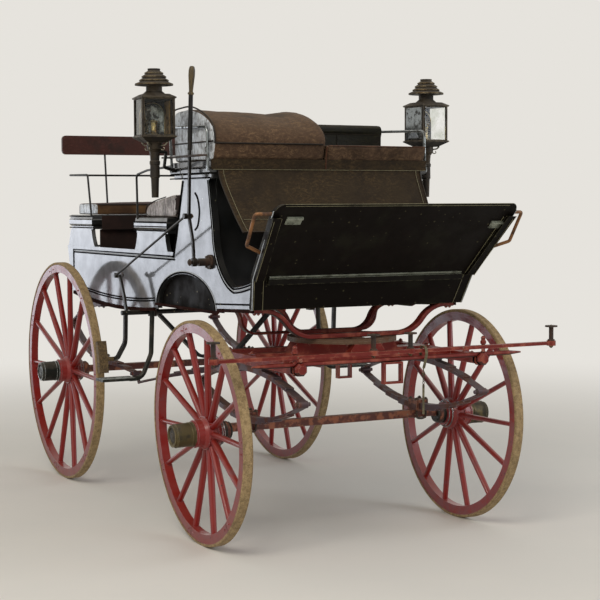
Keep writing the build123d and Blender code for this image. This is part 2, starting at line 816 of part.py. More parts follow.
# Leather apron that falls forward from the seat to the toe space, narrower at its foot
APRON = 8.0
APRON_X = SEAT_FRONT + APRON / 2 + GAP
with BuildPart() as seat_apron:
    add(bent_strap(Plane.XZ, ((APRON_X, 1796), (APRON_X, 1752), (1001, 1556), (1070, 1468)), 60, APRON, 1130))
    add(
        profile_slab(Plane.YZ, ((-565, 1800), (565, 1800), (522, 1440), (-522, 1440)), 2000),
        mode=Mode.INTERSECT,
    )
save(seat_apron, "seat_apron")

# Iron rails at both ends of the box seat
RAIL = 7.0
RAIL_Y = SEAT_HALF + 2
RAIL_FEET = (394.0, 846.0)
with BuildPart() as box_rails:
    for _, side in SIDES:
        rail_y = side * RAIL_Y
        add(
            bent_rod(
                (
                    (RAIL_FEET[0], rail_y, 1782),
                    (372, rail_y, 1990),
                    (838, rail_y, 1974),
                    (RAIL_FEET[1], rail_y, 1782),
                ),
                30,
                RAIL,
            )
        )
        for foot_x in RAIL_FEET:
            low = (foot_x - 10, min(side * 580, side * 613), 1764)
            high = (foot_x + 10, max(side * 580, side * 613), 1788)
            add(box_between(low, high))
    add(box_seat_board.part, mode=Mode.SUBTRACT)
save(box_rails, "box_rails")

# Rear and middle seats: a base with a moulded board, a cushion and a fall
BENCH_ROWS = ((0, 12), (16, 12), (24, 3), (30, 0), (54, 0), (60, 5), (80, 8), (84, 12))
BENCH_HALF = 554.0
BENCH_THICK = BENCH_ROWS[-1][0]
REAR_BENCH_Z = 1462.0
MIDDLE_BENCH_Z = 1452.0
with BuildPart() as rear_seat_base:
    low = (-1385, -BENCH_HALF, REAR_BENCH_Z)
    add(moulded_board(low, (-975, BENCH_HALF, REAR_BENCH_Z), BENCH_ROWS))
    for _, side in SIDES:
        with BuildSketch(Plane.XZ.offset(-side * (BODY_HALF - 12))):
            with BuildLine():
                Polyline(
                    (-945, 1360 + GAP),
                    (-1420, 1360 + GAP),
                    (-1372, REAR_BENCH_Z),
                    (-1000, REAR_BENCH_Z),
                )
                ThreePointArc((-1000, REAR_BENCH_Z), (-985, 1415), (-945, 1360 + GAP))
            make_face()
        extrude(amount=12, both=True)
save(rear_seat_base, "rear_seat_base")

with BuildPart() as rear_seat_cushion:
    add(box_between((-1330, -520, REAR_BENCH_Z + BENCH_THICK + GAP), (-985, 520, 1616)))
    fillet(rear_seat_cushion.edges().filter_by(Axis.Y).group_by(Axis.Z)[-1], 26)
save(rear_seat_cushion, "rear_seat_cushion")

with BuildPart() as middle_seat_base:
    low = (-285, -BENCH_HALF, MIDDLE_BENCH_Z)
    add(moulded_board(low, (185, BENCH_HALF, MIDDLE_BENCH_Z), BENCH_ROWS))
    for _, side in SIDES:
        with BuildSketch(Plane.XZ.offset(-side * (BODY_HALF - 12))):
            with BuildLine():
                ThreePointArc((-290, 1360 + GAP), (-262, 1412), (-250, MIDDLE_BENCH_Z))
                Line((-250, MIDDLE_BENCH_Z), (150, MIDDLE_BENCH_Z))
                ThreePointArc((150, MIDDLE_BENCH_Z), (158, 1412), (180, 1360 + GAP))
                Line((180, 1360 + GAP), (-290, 1360 + GAP))
            make_face()
        extrude(amount=12, both=True)
save(middle_seat_base, "middle_seat_base")

with BuildPart() as middle_seat_cushion:
    seat_z = MIDDLE_BENCH_Z + BENCH_THICK + GAP
    add(
        profile_slab(
            Plane.XZ,
            ((-225, seat_z), (200, seat_z), (262, 1560), (282, 1648), (180, 1652), (-190, 1598)),
            520,
        )
    )
save(middle_seat_cushion, "middle_seat_cushion")

# Falls that close the front of both seats down to the floor
with BuildPart() as seat_falls:
    add(box_between((-984, -505, 1072), (-976, 505, REAR_BENCH_Z - GAP)))
    add(box_between((-268, -505, 1072), (-260, 505, MIDDLE_BENCH_Z - GAP)))
    add(body_floor.part, mode=Mode.SUBTRACT)
save(seat_falls, "seat_falls")

# Backrest board across the back
with BuildPart() as backrest_board:
    with BuildSketch(Plane.YZ.offset(-1522)):
        with Locations((0, 1974)):
            RectangleRounded(1104, 116, 24)
    extrude(amount=22)
save(backrest_board, "backrest_board")

with BuildPart() as seat_rails:
    for _, side in SIDES:
        rail_y = side * 546
        add(
            bent_rod(
                (
                    (-1398, 0, 1786),
                    (-1398, rail_y, 1786),
                    (-1060, rail_y, 1782),
                    (-1000, rail_y, 1535),
                ),
                24,
                6,
            )
        )
        upright_y = side * 276
        add(
            bent_rod(
                (
                    (-1511, upright_y, 1940),
                    (-1472, upright_y, 1632),
                    (-1465, upright_y, 1520),
                    (-1372, upright_y, 1500),
                ),
                24,
                6,
            )
        )
        add(
            bent_rod(
                (
                    (386, rail_y, 1806),
                    (-100, rail_y, 1787),
                    (-258, rail_y, 1766),
                    (-246, rail_y, 1526),
                ),
                24,
                6,
            )
        )
    for other in (backrest_board, rear_seat_base, middle_seat_base, box_seat_board):
        add(other.part, mode=Mode.SUBTRACT)
save(seat_rails, "seat_rails")

# Lamps: square glazed bodies with stepped chimneys and candle stems
LAMP_X = 587.0
LAMP_Y = 774.0
LAMP_HALF = 81.0
LAMP_LOW = 1930.0
LAMP_TOP = 2122.0
LAMP_TOE = 6.0


def lamp_plane(side, height):
    """A level plane at the lamp, turned out by its toe angle."""
    toe = radians(LAMP_TOE) * side
    return Plane(origin=(LAMP_X, side * LAMP_Y, height), x_dir=(cos(toe), sin(toe), 0), z_dir=(0, 0, 1))


FRAME = 10.0
# Each row of a turned lamp piece: radius and height
CHIMNEY = (
    (0, 0),
    (58, 0),
    (44, 12),
    (39, 16),
    (39, 42),
    (93, 44),
    (92, 52),
    (66, 62),
    (72, 64),
    (70, 70),
    (54, 80),
    (60, 82),
    (58, 88),
    (42, 98),
    (46, 100),
    (43, 106),
    (30, 114),
    (31, 124),
    (0, 124),
)
STEM = (
    (0, -267),
    (17, -267),
    (20, -172),
    (24, -168),
    (24, -160),
    (23, -110),
    (26, -104),
    (26, -92),
    (22, -86),
    (25, -46),
    (38, -30),
    (38, 0),
    (0, 0),
)
with BuildPart() as lamps:
    for _, side in SIDES:
        for base, top, low_half, high_half in (
            (LAMP_LOW - 26, LAMP_LOW, 46, LAMP_HALF + 7),
            (LAMP_LOW, LAMP_LOW + 7, LAMP_HALF + 7, LAMP_HALF + 4),
            (LAMP_TOP - 7, LAMP_TOP, LAMP_HALF + 4, LAMP_HALF + 7),
            (LAMP_TOP, LAMP_TOP + 16, LAMP_HALF + 7, 60),
        ):
            for height, half in ((base, low_half), (top, high_half)):
                with BuildSketch(lamp_plane(side, height)):
                    Rectangle(2 * half, 2 * half)
            loft()
        with BuildSketch(lamp_plane(side, LAMP_LOW)):
            Rectangle(2 * LAMP_HALF, 2 * LAMP_HALF)
        extrude(amount=LAMP_TOP - LAMP_LOW)
        add(turned(lamp_plane(side, LAMP_TOP + 15), CHIMNEY))
        add(turned(lamp_plane(side, LAMP_LOW - 25), STEM))
        window = LAMP_TOP - LAMP_LOW - 2 * FRAME
        opening = 2 * LAMP_HALF - 2 * FRAME
        with BuildSketch(lamp_plane(side, LAMP_LOW + FRAME)):
            Rectangle(opening, opening)
            with Locations((LAMP_HALF, 0), (0, side * LAMP_HALF)):
                Rectangle(opening, opening)
        extrude(amount=window, mode=Mode.SUBTRACT)
save(lamps, "lamps")

with BuildPart() as lamp_glasses:
    pane = 3.0
    reach = LAMP_HALF - FRAME - GAP
    for _, side in SIDES:
        with BuildSketch(lamp_plane(side, LAMP_LOW + FRAME + GAP)):
            with Locations((LAMP_HALF - FRAME / 2, 0)):
                Rectangle(pane, 2 * reach)
            with Locations((0, side * (LAMP_HALF - FRAME / 2))):
                Rectangle(2 * reach, pane)
        extrude(amount=LAMP_TOP - LAMP_LOW - 2 * FRAME - 2 * GAP)
save(lamp_glasses, "lamp_glasses")

with BuildPart() as lamp_brackets:
    for _, side in SIDES:
        add(
            bent_rod(
                (
                    (LAMP_X - 150, side * (SEAT_HALF - 6), 1769),
                    (LAMP_X - 150, side * 665, 1790),
                    (LAMP_X, side * 715, 1860),
                    (LAMP_X, side * (LAMP_Y - 16), 1862),
                ),
                14,
                8,
            )
        )
    for other in (lamps, box_seat_board):
        add(other.part, mode=Mode.SUBTRACT)
save(lamp_brackets, "lamp_brackets")

# Body irons that stand on the upper ring and reach out to the sills
IRON = 22.0
IRON_WIDTH = 44.0
IRON_Z = RING_TOP + GAP + IRON / 2
IRONS = (
    ("front", 1194.0, IRON_Z, 236.0, 500.0, 1111.0, IRON),
    ("middle", 930.0, IRON_Z, 140.0, 330.0, 1109.0, IRON),
    ("rear", 712.0, 962.0, 300.0, 460.0, 1103.0, 12.0),
)


def curved_iron(x, flat_z, flat_half, top_half, top_z, thick):
    """A flat iron that sweeps up at both ends in one S curve to a palm under the floor."""
    middle_y = (flat_half + top_half) / 2
    middle_z = (flat_z + top_z) / 2
    with BuildPart() as iron:
        for side in (-1, 1):
            with BuildLine() as path:
                start = (x, side * flat_half, flat_z)
                middle = (x, side * middle_y, middle_z)
                end = (x, side * top_half, top_z)
                Line((x, 0, flat_z), start)
                TangentArc(start, middle, tangent=(0, side, 0))
                run = path.edges()[-1]
                TangentArc(middle, end, tangent=run % 1)
                Line(end, (x, side * (top_half + 42), top_z))
            with BuildSketch(Plane(origin=(x, 0, flat_z), z_dir=(0, side, 0), x_dir=(1, 0, 0))):
                RectangleRounded(IRON_WIDTH, thick, thick / 4)
            sweep(path=path.line)
    return iron.part


with BuildPart() as body_irons:
    for _, x, flat_z, flat_half, top_half, top_z, thick in IRONS:
        add(curved_iron(x, flat_z, flat_half, top_half, top_z, thick))
    for other in (body_floor, upper_ring, *body_sides):
        add(other.part, mode=Mode.SUBTRACT)
save(body_irons, "body_irons")

# Rear springs
REAR_SEAT_Z = REAR_BEAM_Z + AXLE_SIZE / 2
with BuildPart() as rear_springs:
    for _, side in SIDES:
        plane = Plane.XZ.offset(-side * SPRING_Y)
        crown = (REAR_AXLE_X, REAR_SEAT_Z + 20)
        add(leaf_arc(plane, (REAR_AXLE_X + 565, 656), crown, 4, LEAF_WIDTH))
        add(eye_roll(plane, (REAR_AXLE_X + 565, 656), LEAF_WIDTH + 6))
        low = (REAR_AXLE_X - 34, side * SPRING_Y - 24, REAR_SEAT_Z + GAP)
        high = (REAR_AXLE_X + 34, side * SPRING_Y + 24, REAR_SEAT_Z + 20 + PACK)
        add(box_between(low, high))
        eye = (REAR_AXLE_X - 500, 872)
        add(leaf_arc(plane, eye, (REAR_AXLE_X, REAR_SEAT_Z + 20 + PACK), 4, LEAF_WIDTH))
        add(leaf_arc(plane, (eye[0], eye[1] + 6), (REAR_AXLE_X, 1003), 4, LEAF_WIDTH))
        add(eye_roll(plane, eye, LEAF_WIDTH + 6))
        low = (REAR_AXLE_X - 60, side * SPRING_Y - 24, 1003)
        high = (REAR_AXLE_X + 40, side * SPRING_Y + 24, 1078)
        add(box_between(low, high))
    add(body_floor.part, mode=Mode.SUBTRACT)
save(rear_springs, "rear_springs")

# Cross spring and the drop iron that carries it
CROSS_X = -440.0
with BuildPart() as cross_spring:
    plane = Plane.YZ.offset(CROSS_X)
    for side in (-1, 1):
        add(leaf_arc(plane, (side * SPRING_Y, 606), (0, 644), 5, 36))
        link = straight_rod((CROSS_X, side * SPRING_Y, 606), (REAR_AXLE_X + 565, side * SPRING_Y, 656), 9)
        add(link)
    add(box_between((CROSS_X - 26, -45, 640), (CROSS_X + 26, 45, 728)))
    add(rear_springs.part, mode=Mode.SUBTRACT)
save(cross_spring, "cross_spring")

with BuildPart() as drop_iron:
    add(
        bent_strap(
            Plane.YZ.offset(CROSS_X),
            ((-382, 1066), (-362, 1000), (-108, 738), (108, 738), (362, 1000), (382, 1066)),
            70,
            18,
            40,
        )
    )
    for other in (cross_spring, body_floor):
        add(other.part, mode=Mode.SUBTRACT)
save(drop_iron, "drop_iron")

# Steps below the side entrances
with BuildPart() as steps:
    for _, side in SIDES:
        add(
            bent_rod(
                (
                    (-150, side * 505, 1056),
                    (-150, side * 515, 800),
                    (-150, side * 570, 668),
                    (-150, side * 640, 668),
                ),
                60,
                13,
            )
        )
        low = (-205, min(side * 622, side * 812), 664)
        high = (-95, max(side * 622, side * 812), 676)
        add(box_between(low, high))
    add(body_floor.part, mode=Mode.SUBTRACT)
save(steps, "steps")

# Hand brake: a lever on the right side, a rod, a cross shaft with hangers and blocks
LEVER_Y = -634.0
LEVER_PIVOT = (731.0, 1324.0)
ROD_PIN = (674.0, 1547.0)
LEVER_TOP = (712.0, 2138.0)
SHAFT = (-200.0, 1022.0)
ROCKER_PIN = (-303.0, 1221.0)
BLOCK_GAP = 12.0
GUIDE_Z = 1834.0
GUIDE = 8.0
BLOCK_Y = 708.0

# Each row of the turned grip: radius and height
GRIP_ROWS = ((0, -4), (14, -4), (14, 2), (9, 8), (10, 24), (15, 84), (15, 110), (11, 126), (7, 130), (0, 130))


def on_pivot(y):
    """A point on the lever's pivot line."""
    return (LEVER_PIVOT[0], y, LEVER_PIVOT[1])


with BuildPart() as brake_lever:
    add(
        bent_strap(
            Plane.XZ.offset(-LEVER_Y),
            (LEVER_PIVOT, (722, 1420), ROD_PIN, (690, 1833), LEVER_TOP),
            60,
            16,
            12,
        )
    )
    lever_end = (LEVER_TOP[0], LEVER_Y, LEVER_TOP[1])
    add(straight_rod((692, LEVER_Y, 1866), lever_end, 11))
    add(turned(Plane(origin=lever_end, x_dir=(0, 1, 0), z_dir=(0.14, 0, 1)), GRIP_ROWS))
    add(straight_rod(on_pivot(LEVER_Y - 12), on_pivot(LEVER_Y + 12), 20))
    with BuildSketch(Plane.XZ.offset(-LEVER_Y)):
        with Locations(LEVER_PIVOT):
            Circle(9 + FIT)
        with Locations(ROD_PIN):
            Circle(7 + FIT)
    extrude(amount=30, both=True, mode=Mode.SUBTRACT)
save(brake_lever, "brake_lever")

GUIDE_REAR = 380.0
GUIDE_FRONT = 852.0
SLOT_REAR = 494.0
SLOT_FRONT = 754.0
with BuildPart() as brake_brackets:
    foot = -BODY_HALF - GAP
    for reach, radius in ((LEVER_Y - 20, 9), (-612, 19), (-BODY_HALF - 10, 36)):
        add(straight_rod(on_pivot(foot), on_pivot(reach), radius))
    guide_in = -RAIL_Y - RAIL - GAP
    guide_out = LEVER_Y - 22
    add(box_between((GUIDE_REAR, guide_out, GUIDE_Z), (GUIDE_FRONT, guide_in, GUIDE_Z + GUIDE)))
    slot_low = (SLOT_REAR, guide_out + GUIDE, GUIDE_Z - 1)
    slot_high = (SLOT_FRONT, guide_in - GUIDE, GUIDE_Z + GUIDE + 1)
    add(box_between(slot_low, slot_high), mode=Mode.SUBTRACT)
    for _, side in SIDES:
        low = (SHAFT[0] - 26, min(side * 470, side * 500), SHAFT[1] - 24)
        high = (SHAFT[0] + 26, max(side * 470, side * 500), 1068)
        add(box_between(low, high))
    with Locations((SHAFT[0], 0, SHAFT[1])):
        Cylinder(13 + FIT, 1400, rotation=(90, 0, 0), mode=Mode.SUBTRACT)
    add(body_floor.part, mode=Mode.SUBTRACT)
save(brake_brackets, "brake_brackets")

with BuildPart() as brake_rod:
    rod_y = LEVER_Y - 20
    add(straight_rod((ROD_PIN[0], rod_y, ROD_PIN[1]), (ROCKER_PIN[0], rod_y, ROCKER_PIN[1]), 6))
    for pin in (ROD_PIN, ROCKER_PIN):
        add(straight_rod((pin[0], rod_y - 9, pin[1]), (pin[0], rod_y + 9, pin[1]), 14))
    add(straight_rod((ROD_PIN[0], rod_y, ROD_PIN[1]), (ROD_PIN[0], LEVER_Y + 12, ROD_PIN[1]), 7))
save(brake_rod, "brake_rod")

HANGER_Y = 640.0
with BuildPart() as brake_shaft:
    shaft_half = 664.0
    add(straight_rod((SHAFT[0], -shaft_half, SHAFT[1]), (SHAFT[0], shaft_half, SHAFT[1]), 13))
    add(
        bent_strap(Plane.XZ.offset(-LEVER_Y), (SHAFT, (-236, 1110), ROCKER_PIN), 40, 22, 12),
    )
    for _, side in SIDES:
        add(
            bent_strap(
                Plane.XZ.offset(-side * HANGER_Y),
                (SHAFT, (-210, 860), (-330, 770), (-372, 757)),
                60,
                20,
                20,
            )
        )
save(brake_shaft, "brake_shaft")

with BuildPart() as brake_blocks:
    for _, side in SIDES:
        inner = REAR_RADIUS + BLOCK_GAP
        block_plane = Plane.XZ.offset(-side * BLOCK_Y)
        with BuildSketch(block_plane):
            with BuildLine():
                corners = []
                for ring in (inner, inner + 34):
                    for angle in (4, 11.5, 19):
                        turn = radians(angle)
                        corners.append((REAR_AXLE_X + ring * cos(turn), REAR_RADIUS + ring * sin(turn)))
                ThreePointArc(corners[0], corners[1], corners[2])
                Line(corners[2], corners[5])
                ThreePointArc(corners[5], corners[4], corners[3])
                Line(corners[3], corners[0])
            make_face()
        extrude(amount=26, both=True)
        add(straight_rod((-378, side * 630, 757), (-378, side * 700, 757), 12))
    add(brake_shaft.part, mode=Mode.SUBTRACT)
save(brake_blocks, "brake_blocks")
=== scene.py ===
import logging
import math
from dataclasses import dataclass
from enum import Enum
from typing import Callable, Sequence

import bmesh
import bpy
from mathutils import Matrix, Vector, noise


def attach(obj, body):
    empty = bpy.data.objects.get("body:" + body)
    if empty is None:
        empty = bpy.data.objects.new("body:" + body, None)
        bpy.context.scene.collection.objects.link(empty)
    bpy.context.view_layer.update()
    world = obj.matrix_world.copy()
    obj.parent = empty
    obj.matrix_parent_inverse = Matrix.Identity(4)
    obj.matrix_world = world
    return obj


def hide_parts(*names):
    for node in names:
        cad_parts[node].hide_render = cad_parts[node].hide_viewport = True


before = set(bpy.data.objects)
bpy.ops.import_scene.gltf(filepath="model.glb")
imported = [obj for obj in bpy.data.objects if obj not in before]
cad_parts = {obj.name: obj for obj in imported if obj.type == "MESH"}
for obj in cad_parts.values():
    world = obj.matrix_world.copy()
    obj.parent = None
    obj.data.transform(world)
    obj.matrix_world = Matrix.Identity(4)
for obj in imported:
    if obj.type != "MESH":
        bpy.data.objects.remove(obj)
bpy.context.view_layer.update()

log = logging.getLogger("road_coach")
Point = tuple[float, float, float]
Row = tuple[float, ...]
Node = bpy.types.Node
Socket = bpy.types.NodeSocket
Tree = bpy.types.NodeTree
Piece = bpy.types.Object


class Side(Enum):
    """The two sides of the coach, by the sign of Y."""

    RIGHT = -1
    LEFT = 1


def colour(code: str) -> tuple[float, float, float, float]:
    """Turn a colour as it is seen on screen into the linear values that a shader takes.

    Args:
        code: six hexadecimal digits, red first.

    Returns:
        Linear red, green, blue and one.
    """
    parts = [int(code[i : i + 2], 16) / 255 for i in (0, 2, 4)]
    linear = [p / 12.92 if p <= 0.04045 else ((p + 0.055) / 1.055) ** 2.4 for p in parts]
    return (*linear, 1.0)


class Graph:
    """A node tree that is filled by short calls."""

    def __init__(self, tree: Tree) -> None:
        """Keep the tree to fill."""
        self.tree = tree

    def node(self, kind: str, inputs: dict | None = None, **settings: object) -> Node:
        """Add one node.

        Args:
            kind: the node's type.
            inputs: socket name or index to a value, or to a socket to link from.
            settings: properties of the node itself.

        Returns:
            The new node.
        """
        made = self.tree.nodes.new(kind)
        for name, value in settings.items():
            setattr(made, name, value)
        for key, value in (inputs or {}).items():
            self.feed(made, key, value)
        return made

    def feed(self, node: Node, key: str | int, value: object) -> None:
        """Set one input of a node, or link it where the value is a socket."""
        if isinstance(value, Socket):
            self.tree.links.new(value, node.inputs[key])
        else:
            node.inputs[key].default_value = value

    def math(self, operation: str, first: object, second: object = 0.5) -> Socket:
        """One sum on one or two numbers."""
        return self.node("ShaderNodeMath", {0: first, 1: second}, operation=operation).outputs[0]

    def times(self, first: object, second: object) -> Socket:
        """The product of two numbers."""
        return self.math("MULTIPLY", first, second)

    def ramp(
        self, value: object, low: object, high: object, start: object = 0.0, end: object = 1.0
    ) -> Socket:
        """Map a value smoothly from one range to another.

        Args:
            value: the socket to read.
            low: the value that gives start.
            high: the value that gives end.
            start: result at low.
            end: result at high.

        Returns:
            The output socket.
        """
        inputs = {"Value": value, "From Min": low, "From Max": high, "To Min": start, "To Max": end}
        made = self.node("ShaderNodeMapRange", inputs, interpolation_type="SMOOTHSTEP")
        return made.outputs[0]

    def mix(self, factor: object, first: object, second: object) -> Socket:
        """Mix two colours by a mask, each a socket or six hexadecimal digits."""
        first, second = (colour(tone) if isinstance(tone, str) else tone for tone in (first, second))
        return self.node("ShaderNodeMix", {0: factor, 6: first, 7: second}, data_type="RGBA").outputs[2]

    def noise(self, vector: object, scale: object, detail: float = 4.0, rough: float = 0.55) -> Socket:
        """Cloudy noise between 0 and 1."""
        inputs = {"Vector": vector, "Scale": scale, "Detail": detail, "Roughness": rough}
        return self.node("ShaderNodeTexNoise", inputs).outputs[0]

    def circle(self, sides: object, radius: object) -> Socket:
        """A closed round curve."""
        inputs = {"Resolution": sides, "Radius": radius}
        return self.node("GeometryNodeCurvePrimitiveCircle", inputs).outputs[0]

    def stretched(self, vector: object, scale: Point) -> Socket:
        """The same vector stretched along its axes."""
        return self.node("ShaderNodeMapping", {0: vector, 3: scale}).outputs[0]


class Effects:
    """Shader node groups that several finishes share, each built once."""

    def __init__(self) -> None:
        """Start with nothing built."""
        self.built: dict[str, Tree] = {}

    def group(
        self, name: str, inputs: dict[str, float], outputs: Sequence[str], fill: Callable
    ) -> Tree:
        """Build a group on its first use.

        Args:
            name: the group's name.
            inputs: name and default of each number that it takes, besides the vector.
            outputs: names of the masks or heights that it puts out.
            fill: called with the graph and the group's inputs, returns one socket for each output.

        Returns:
            The node group.
        """
        if name in self.built:
            return self.built[name]
        tree = bpy.data.node_groups.new(name, "ShaderNodeTree")
        tree.interface.new_socket("Vector", in_out="INPUT", socket_type="NodeSocketVector")
        for label, value in inputs.items():
            made = tree.interface.new_socket(label, in_out="INPUT", socket_type="NodeSocketFloat")
            made.default_value = value
        for label in outputs:
            tree.interface.new_socket(label, in_out="OUTPUT", socket_type="NodeSocketFloat")
        graph = Graph(tree)
        start = graph.node("NodeGroupInput")
        end = graph.node("NodeGroupOutput")
        for socket, label in zip(fill(graph, start.outputs), outputs):
            tree.links.new(socket, end.inputs[label])
        self.built[name] = tree
        return tree

    def use(self, graph: Graph, tree: Tree, vector: object, **values: object) -> Node:
        """Place a group in a material with its own values."""
        inputs = {"Vector": vector, **{name.replace("_", " "): value for name, value in values.items()}}
        return graph.node("ShaderNodeGroup", inputs, node_tree=tree)

    def patches(self) -> Tree:
        """Uneven patches of wear or dirt."""

        def fill(graph: Graph, given: object) -> tuple:
            """Fill the group."""
            broad = graph.noise(given["Vector"], given["Scale"], 6.0, 0.6)
            return (graph.ramp(broad, given["Low"], given["High"]),)

        return self.group("patches", {"Scale": 6.0, "Low": 0.5, "High": 0.62}, ("Mask",), fill)

    def edges(self) -> Tree:
        """Wear along hard edges, broken up by noise; on the wheels and the footboard its pale colour is
        also a painted highlight.
        """

        def fill(graph: Graph, given: object) -> tuple:
            """Fill the group."""
            soft = graph.node("ShaderNodeBevel", {"Radius": given["Radius"]}, samples=4).outputs[0]
            hard = graph.node("ShaderNodeNewGeometry").outputs["Normal"]
            both = graph.node("ShaderNodeVectorMath", {0: soft, 1: hard}, operation="DOT_PRODUCT")
            edge = graph.ramp(both.outputs["Value"], 0.99, 0.82)
            broken = graph.ramp(graph.noise(given["Vector"], given["Scale"], 5.0), 0.36, 0.6)
            return (graph.times(edge, broken),)

        return self.group("edge wear", {"Radius": 0.004, "Scale": 30.0}, ("Mask",), fill)

    def dust(self) -> Tree:
        """Dust that settles on what faces up, in drifts."""

        def fill(graph: Graph, given: object) -> tuple:
            """Fill the group."""
            normal = graph.node("ShaderNodeTexCoord").outputs["Normal"]
            up = graph.node("ShaderNodeSeparateXYZ", {0: normal}).outputs["Z"]
            facing = graph.ramp(up, 0.05, 0.95)
            drift = graph.ramp(graph.noise(given["Vector"], given["Scale"], 6.0, 0.65), 0.3, 0.7, 0.35, 1.0)
            return (graph.times(graph.times(facing, drift), given["Amount"]),)

        return self.group("dust", {"Scale": 14.0, "Amount": 0.4}, ("Mask",), fill)

    def specks(self) -> Tree:
        """Small chips and specks, each a round dot of its own size."""

        def fill(graph: Graph, given: object) -> tuple:
            """Fill the group."""
            cells = graph.node("ShaderNodeTexVoronoi", {"Vector": given["Vector"], "Scale": given["Scale"]})
            lucky = graph.node("ShaderNodeSeparateColor", {0: cells.outputs["Color"]}).outputs[0]
            size = graph.ramp(lucky, given["Rarity"], 1.0, 0.0, 0.3)
            inside = graph.math("LESS_THAN", cells.outputs["Distance"], size)
            return (inside,)

        return self.group("specks", {"Scale": 90.0, "Rarity": 0.8}, ("Mask",), fill)

    def creases(self) -> Tree:
        """Old leather: a fine grain, broad creases and the worn tops between them."""

        def fill(graph: Graph, given: object) -> tuple:
            """Fill the group."""
            bent = graph.noise(given["Vector"], 9.0, 3.0)
            shift = graph.node("ShaderNodeVectorMath", {0: bent, 1: (0.1, 0.1, 0.1)}, operation="MULTIPLY")
            moved = {0: given["Vector"], 1: shift.outputs[0]}
            placed = graph.node("ShaderNodeVectorMath", moved, operation="ADD").outputs[0]
            cells = {"Vector": graph.stretched(placed, (1.0, 0.45, 1.0)), "Scale": given["Scale"]}
            cracks = graph.node("ShaderNodeTexVoronoi", cells, feature="DISTANCE_TO_EDGE").outputs[0]
            holes = {"Vector": given["Vector"], "Scale": 420.0}
            pores = graph.node("ShaderNodeTexVoronoi", holes, feature="F1").outputs[0]
            crease = graph.ramp(cracks, 0.0, 0.05)
            broad = graph.noise(given["Vector"], 6.0, 5.0, 0.6)
            rubbed = graph.noise(graph.stretched(placed, (1.0, 0.5, 1.2)), 74.0, 8.0, 0.8)
            height = graph.math("ADD", graph.times(crease, 0.25), graph.times(rubbed, 0.8))
            height = graph.math("ADD", height, graph.times(pores, 0.12))
            tops, areas = graph.ramp(rubbed, 0.44, 0.68), graph.ramp(broad, 0.34, 0.66, 0.25, 1.0)
            high = graph.times(tops, areas)
            worn = graph.times(high, graph.ramp(crease, 0.0, 1.0, 0.6, 1.0))
            return (height, worn)

        return self.group("creased leather", {"Scale": 16.0}, ("Height", "Worn"), fill)

    def weave(self) -> Tree:
        """A plain weave: two crossed sets of threads."""

        def fill(graph: Graph, given: object) -> tuple:
            """Fill the group."""
            parts = graph.node("ShaderNodeSeparateXYZ", {0: given["Vector"]}).outputs
            waves = [graph.math("SINE", graph.times(parts[k], given["Threads"])) for k in range(3)]
            across, along, upright = waves
            both = graph.times(across, along)
            height = graph.math("ADD", both, graph.times(upright, 0.5))
            fuzz = graph.noise(given["Vector"], 220.0, 3.0)
            height = graph.math("ADD", height, fuzz)
            return (height, graph.ramp(height, 0.0, 1.2))

        return self.group("weave", {"Threads": 900.0}, ("Height", "Mask"), fill)

    def facing(self) -> Tree:
        """How far a face looks outward to the side, up or down, from the object's own normal."""

        def fill(graph: Graph, given: object) -> tuple:
            """Fill the group."""
            normal = graph.node("ShaderNodeTexCoord").outputs["Normal"]
            parts = graph.node("ShaderNodeSeparateXYZ", {0: normal}).outputs
            outward = graph.ramp(graph.math("ABSOLUTE", parts[1], 0.0), 0.55, 0.95)
            down = graph.ramp(parts[2], -0.15, -0.8)
            return (outward, down)

        return self.group("facing", {}, ("Outward", "Down"), fill)


EFFECTS = Effects()


@dataclass(frozen=True)
class Finish:
    """What every finish has: a name, its ground colour and how rough it is."""

    name: str
    ground: str
    roughness: float

    def material(self) -> bpy.types.Material:
        """Return the material, building it on first use."""
        found = bpy.data.materials.get(self.name)
        if found:
            return found
        made = bpy.data.materials.new(self.name)
        made.use_nodes = True
        made.node_tree.nodes.clear()
        graph = Graph(made.node_tree)
        place = graph.node("ShaderNodeTexCoord").outputs["Object"]
        shader = graph.node("ShaderNodeBsdfPrincipled", {"Roughness": self.roughness})
        self.shade(graph, place, shader)
        end = graph.node("ShaderNodeOutputMaterial", {"Surface": shader.outputs[0]})
        end.is_active_output = True
        return made

    def shade(self, graph: Graph, place: Socket, shader: Node) -> None:
        """Fill in the shader's inputs."""
        raise NotImplementedError

    def bump(
        self, graph: Graph, shader: Node, height: object, depth: float, strength: float = 1.0
    ) -> None:
        """Raise the surface by a height map, depth in metres."""
        made = graph.node("ShaderNodeBump", {"Height": height, "Distance": depth, "Strength": strength})
        graph.feed(shader, "Normal", made.outputs[0])


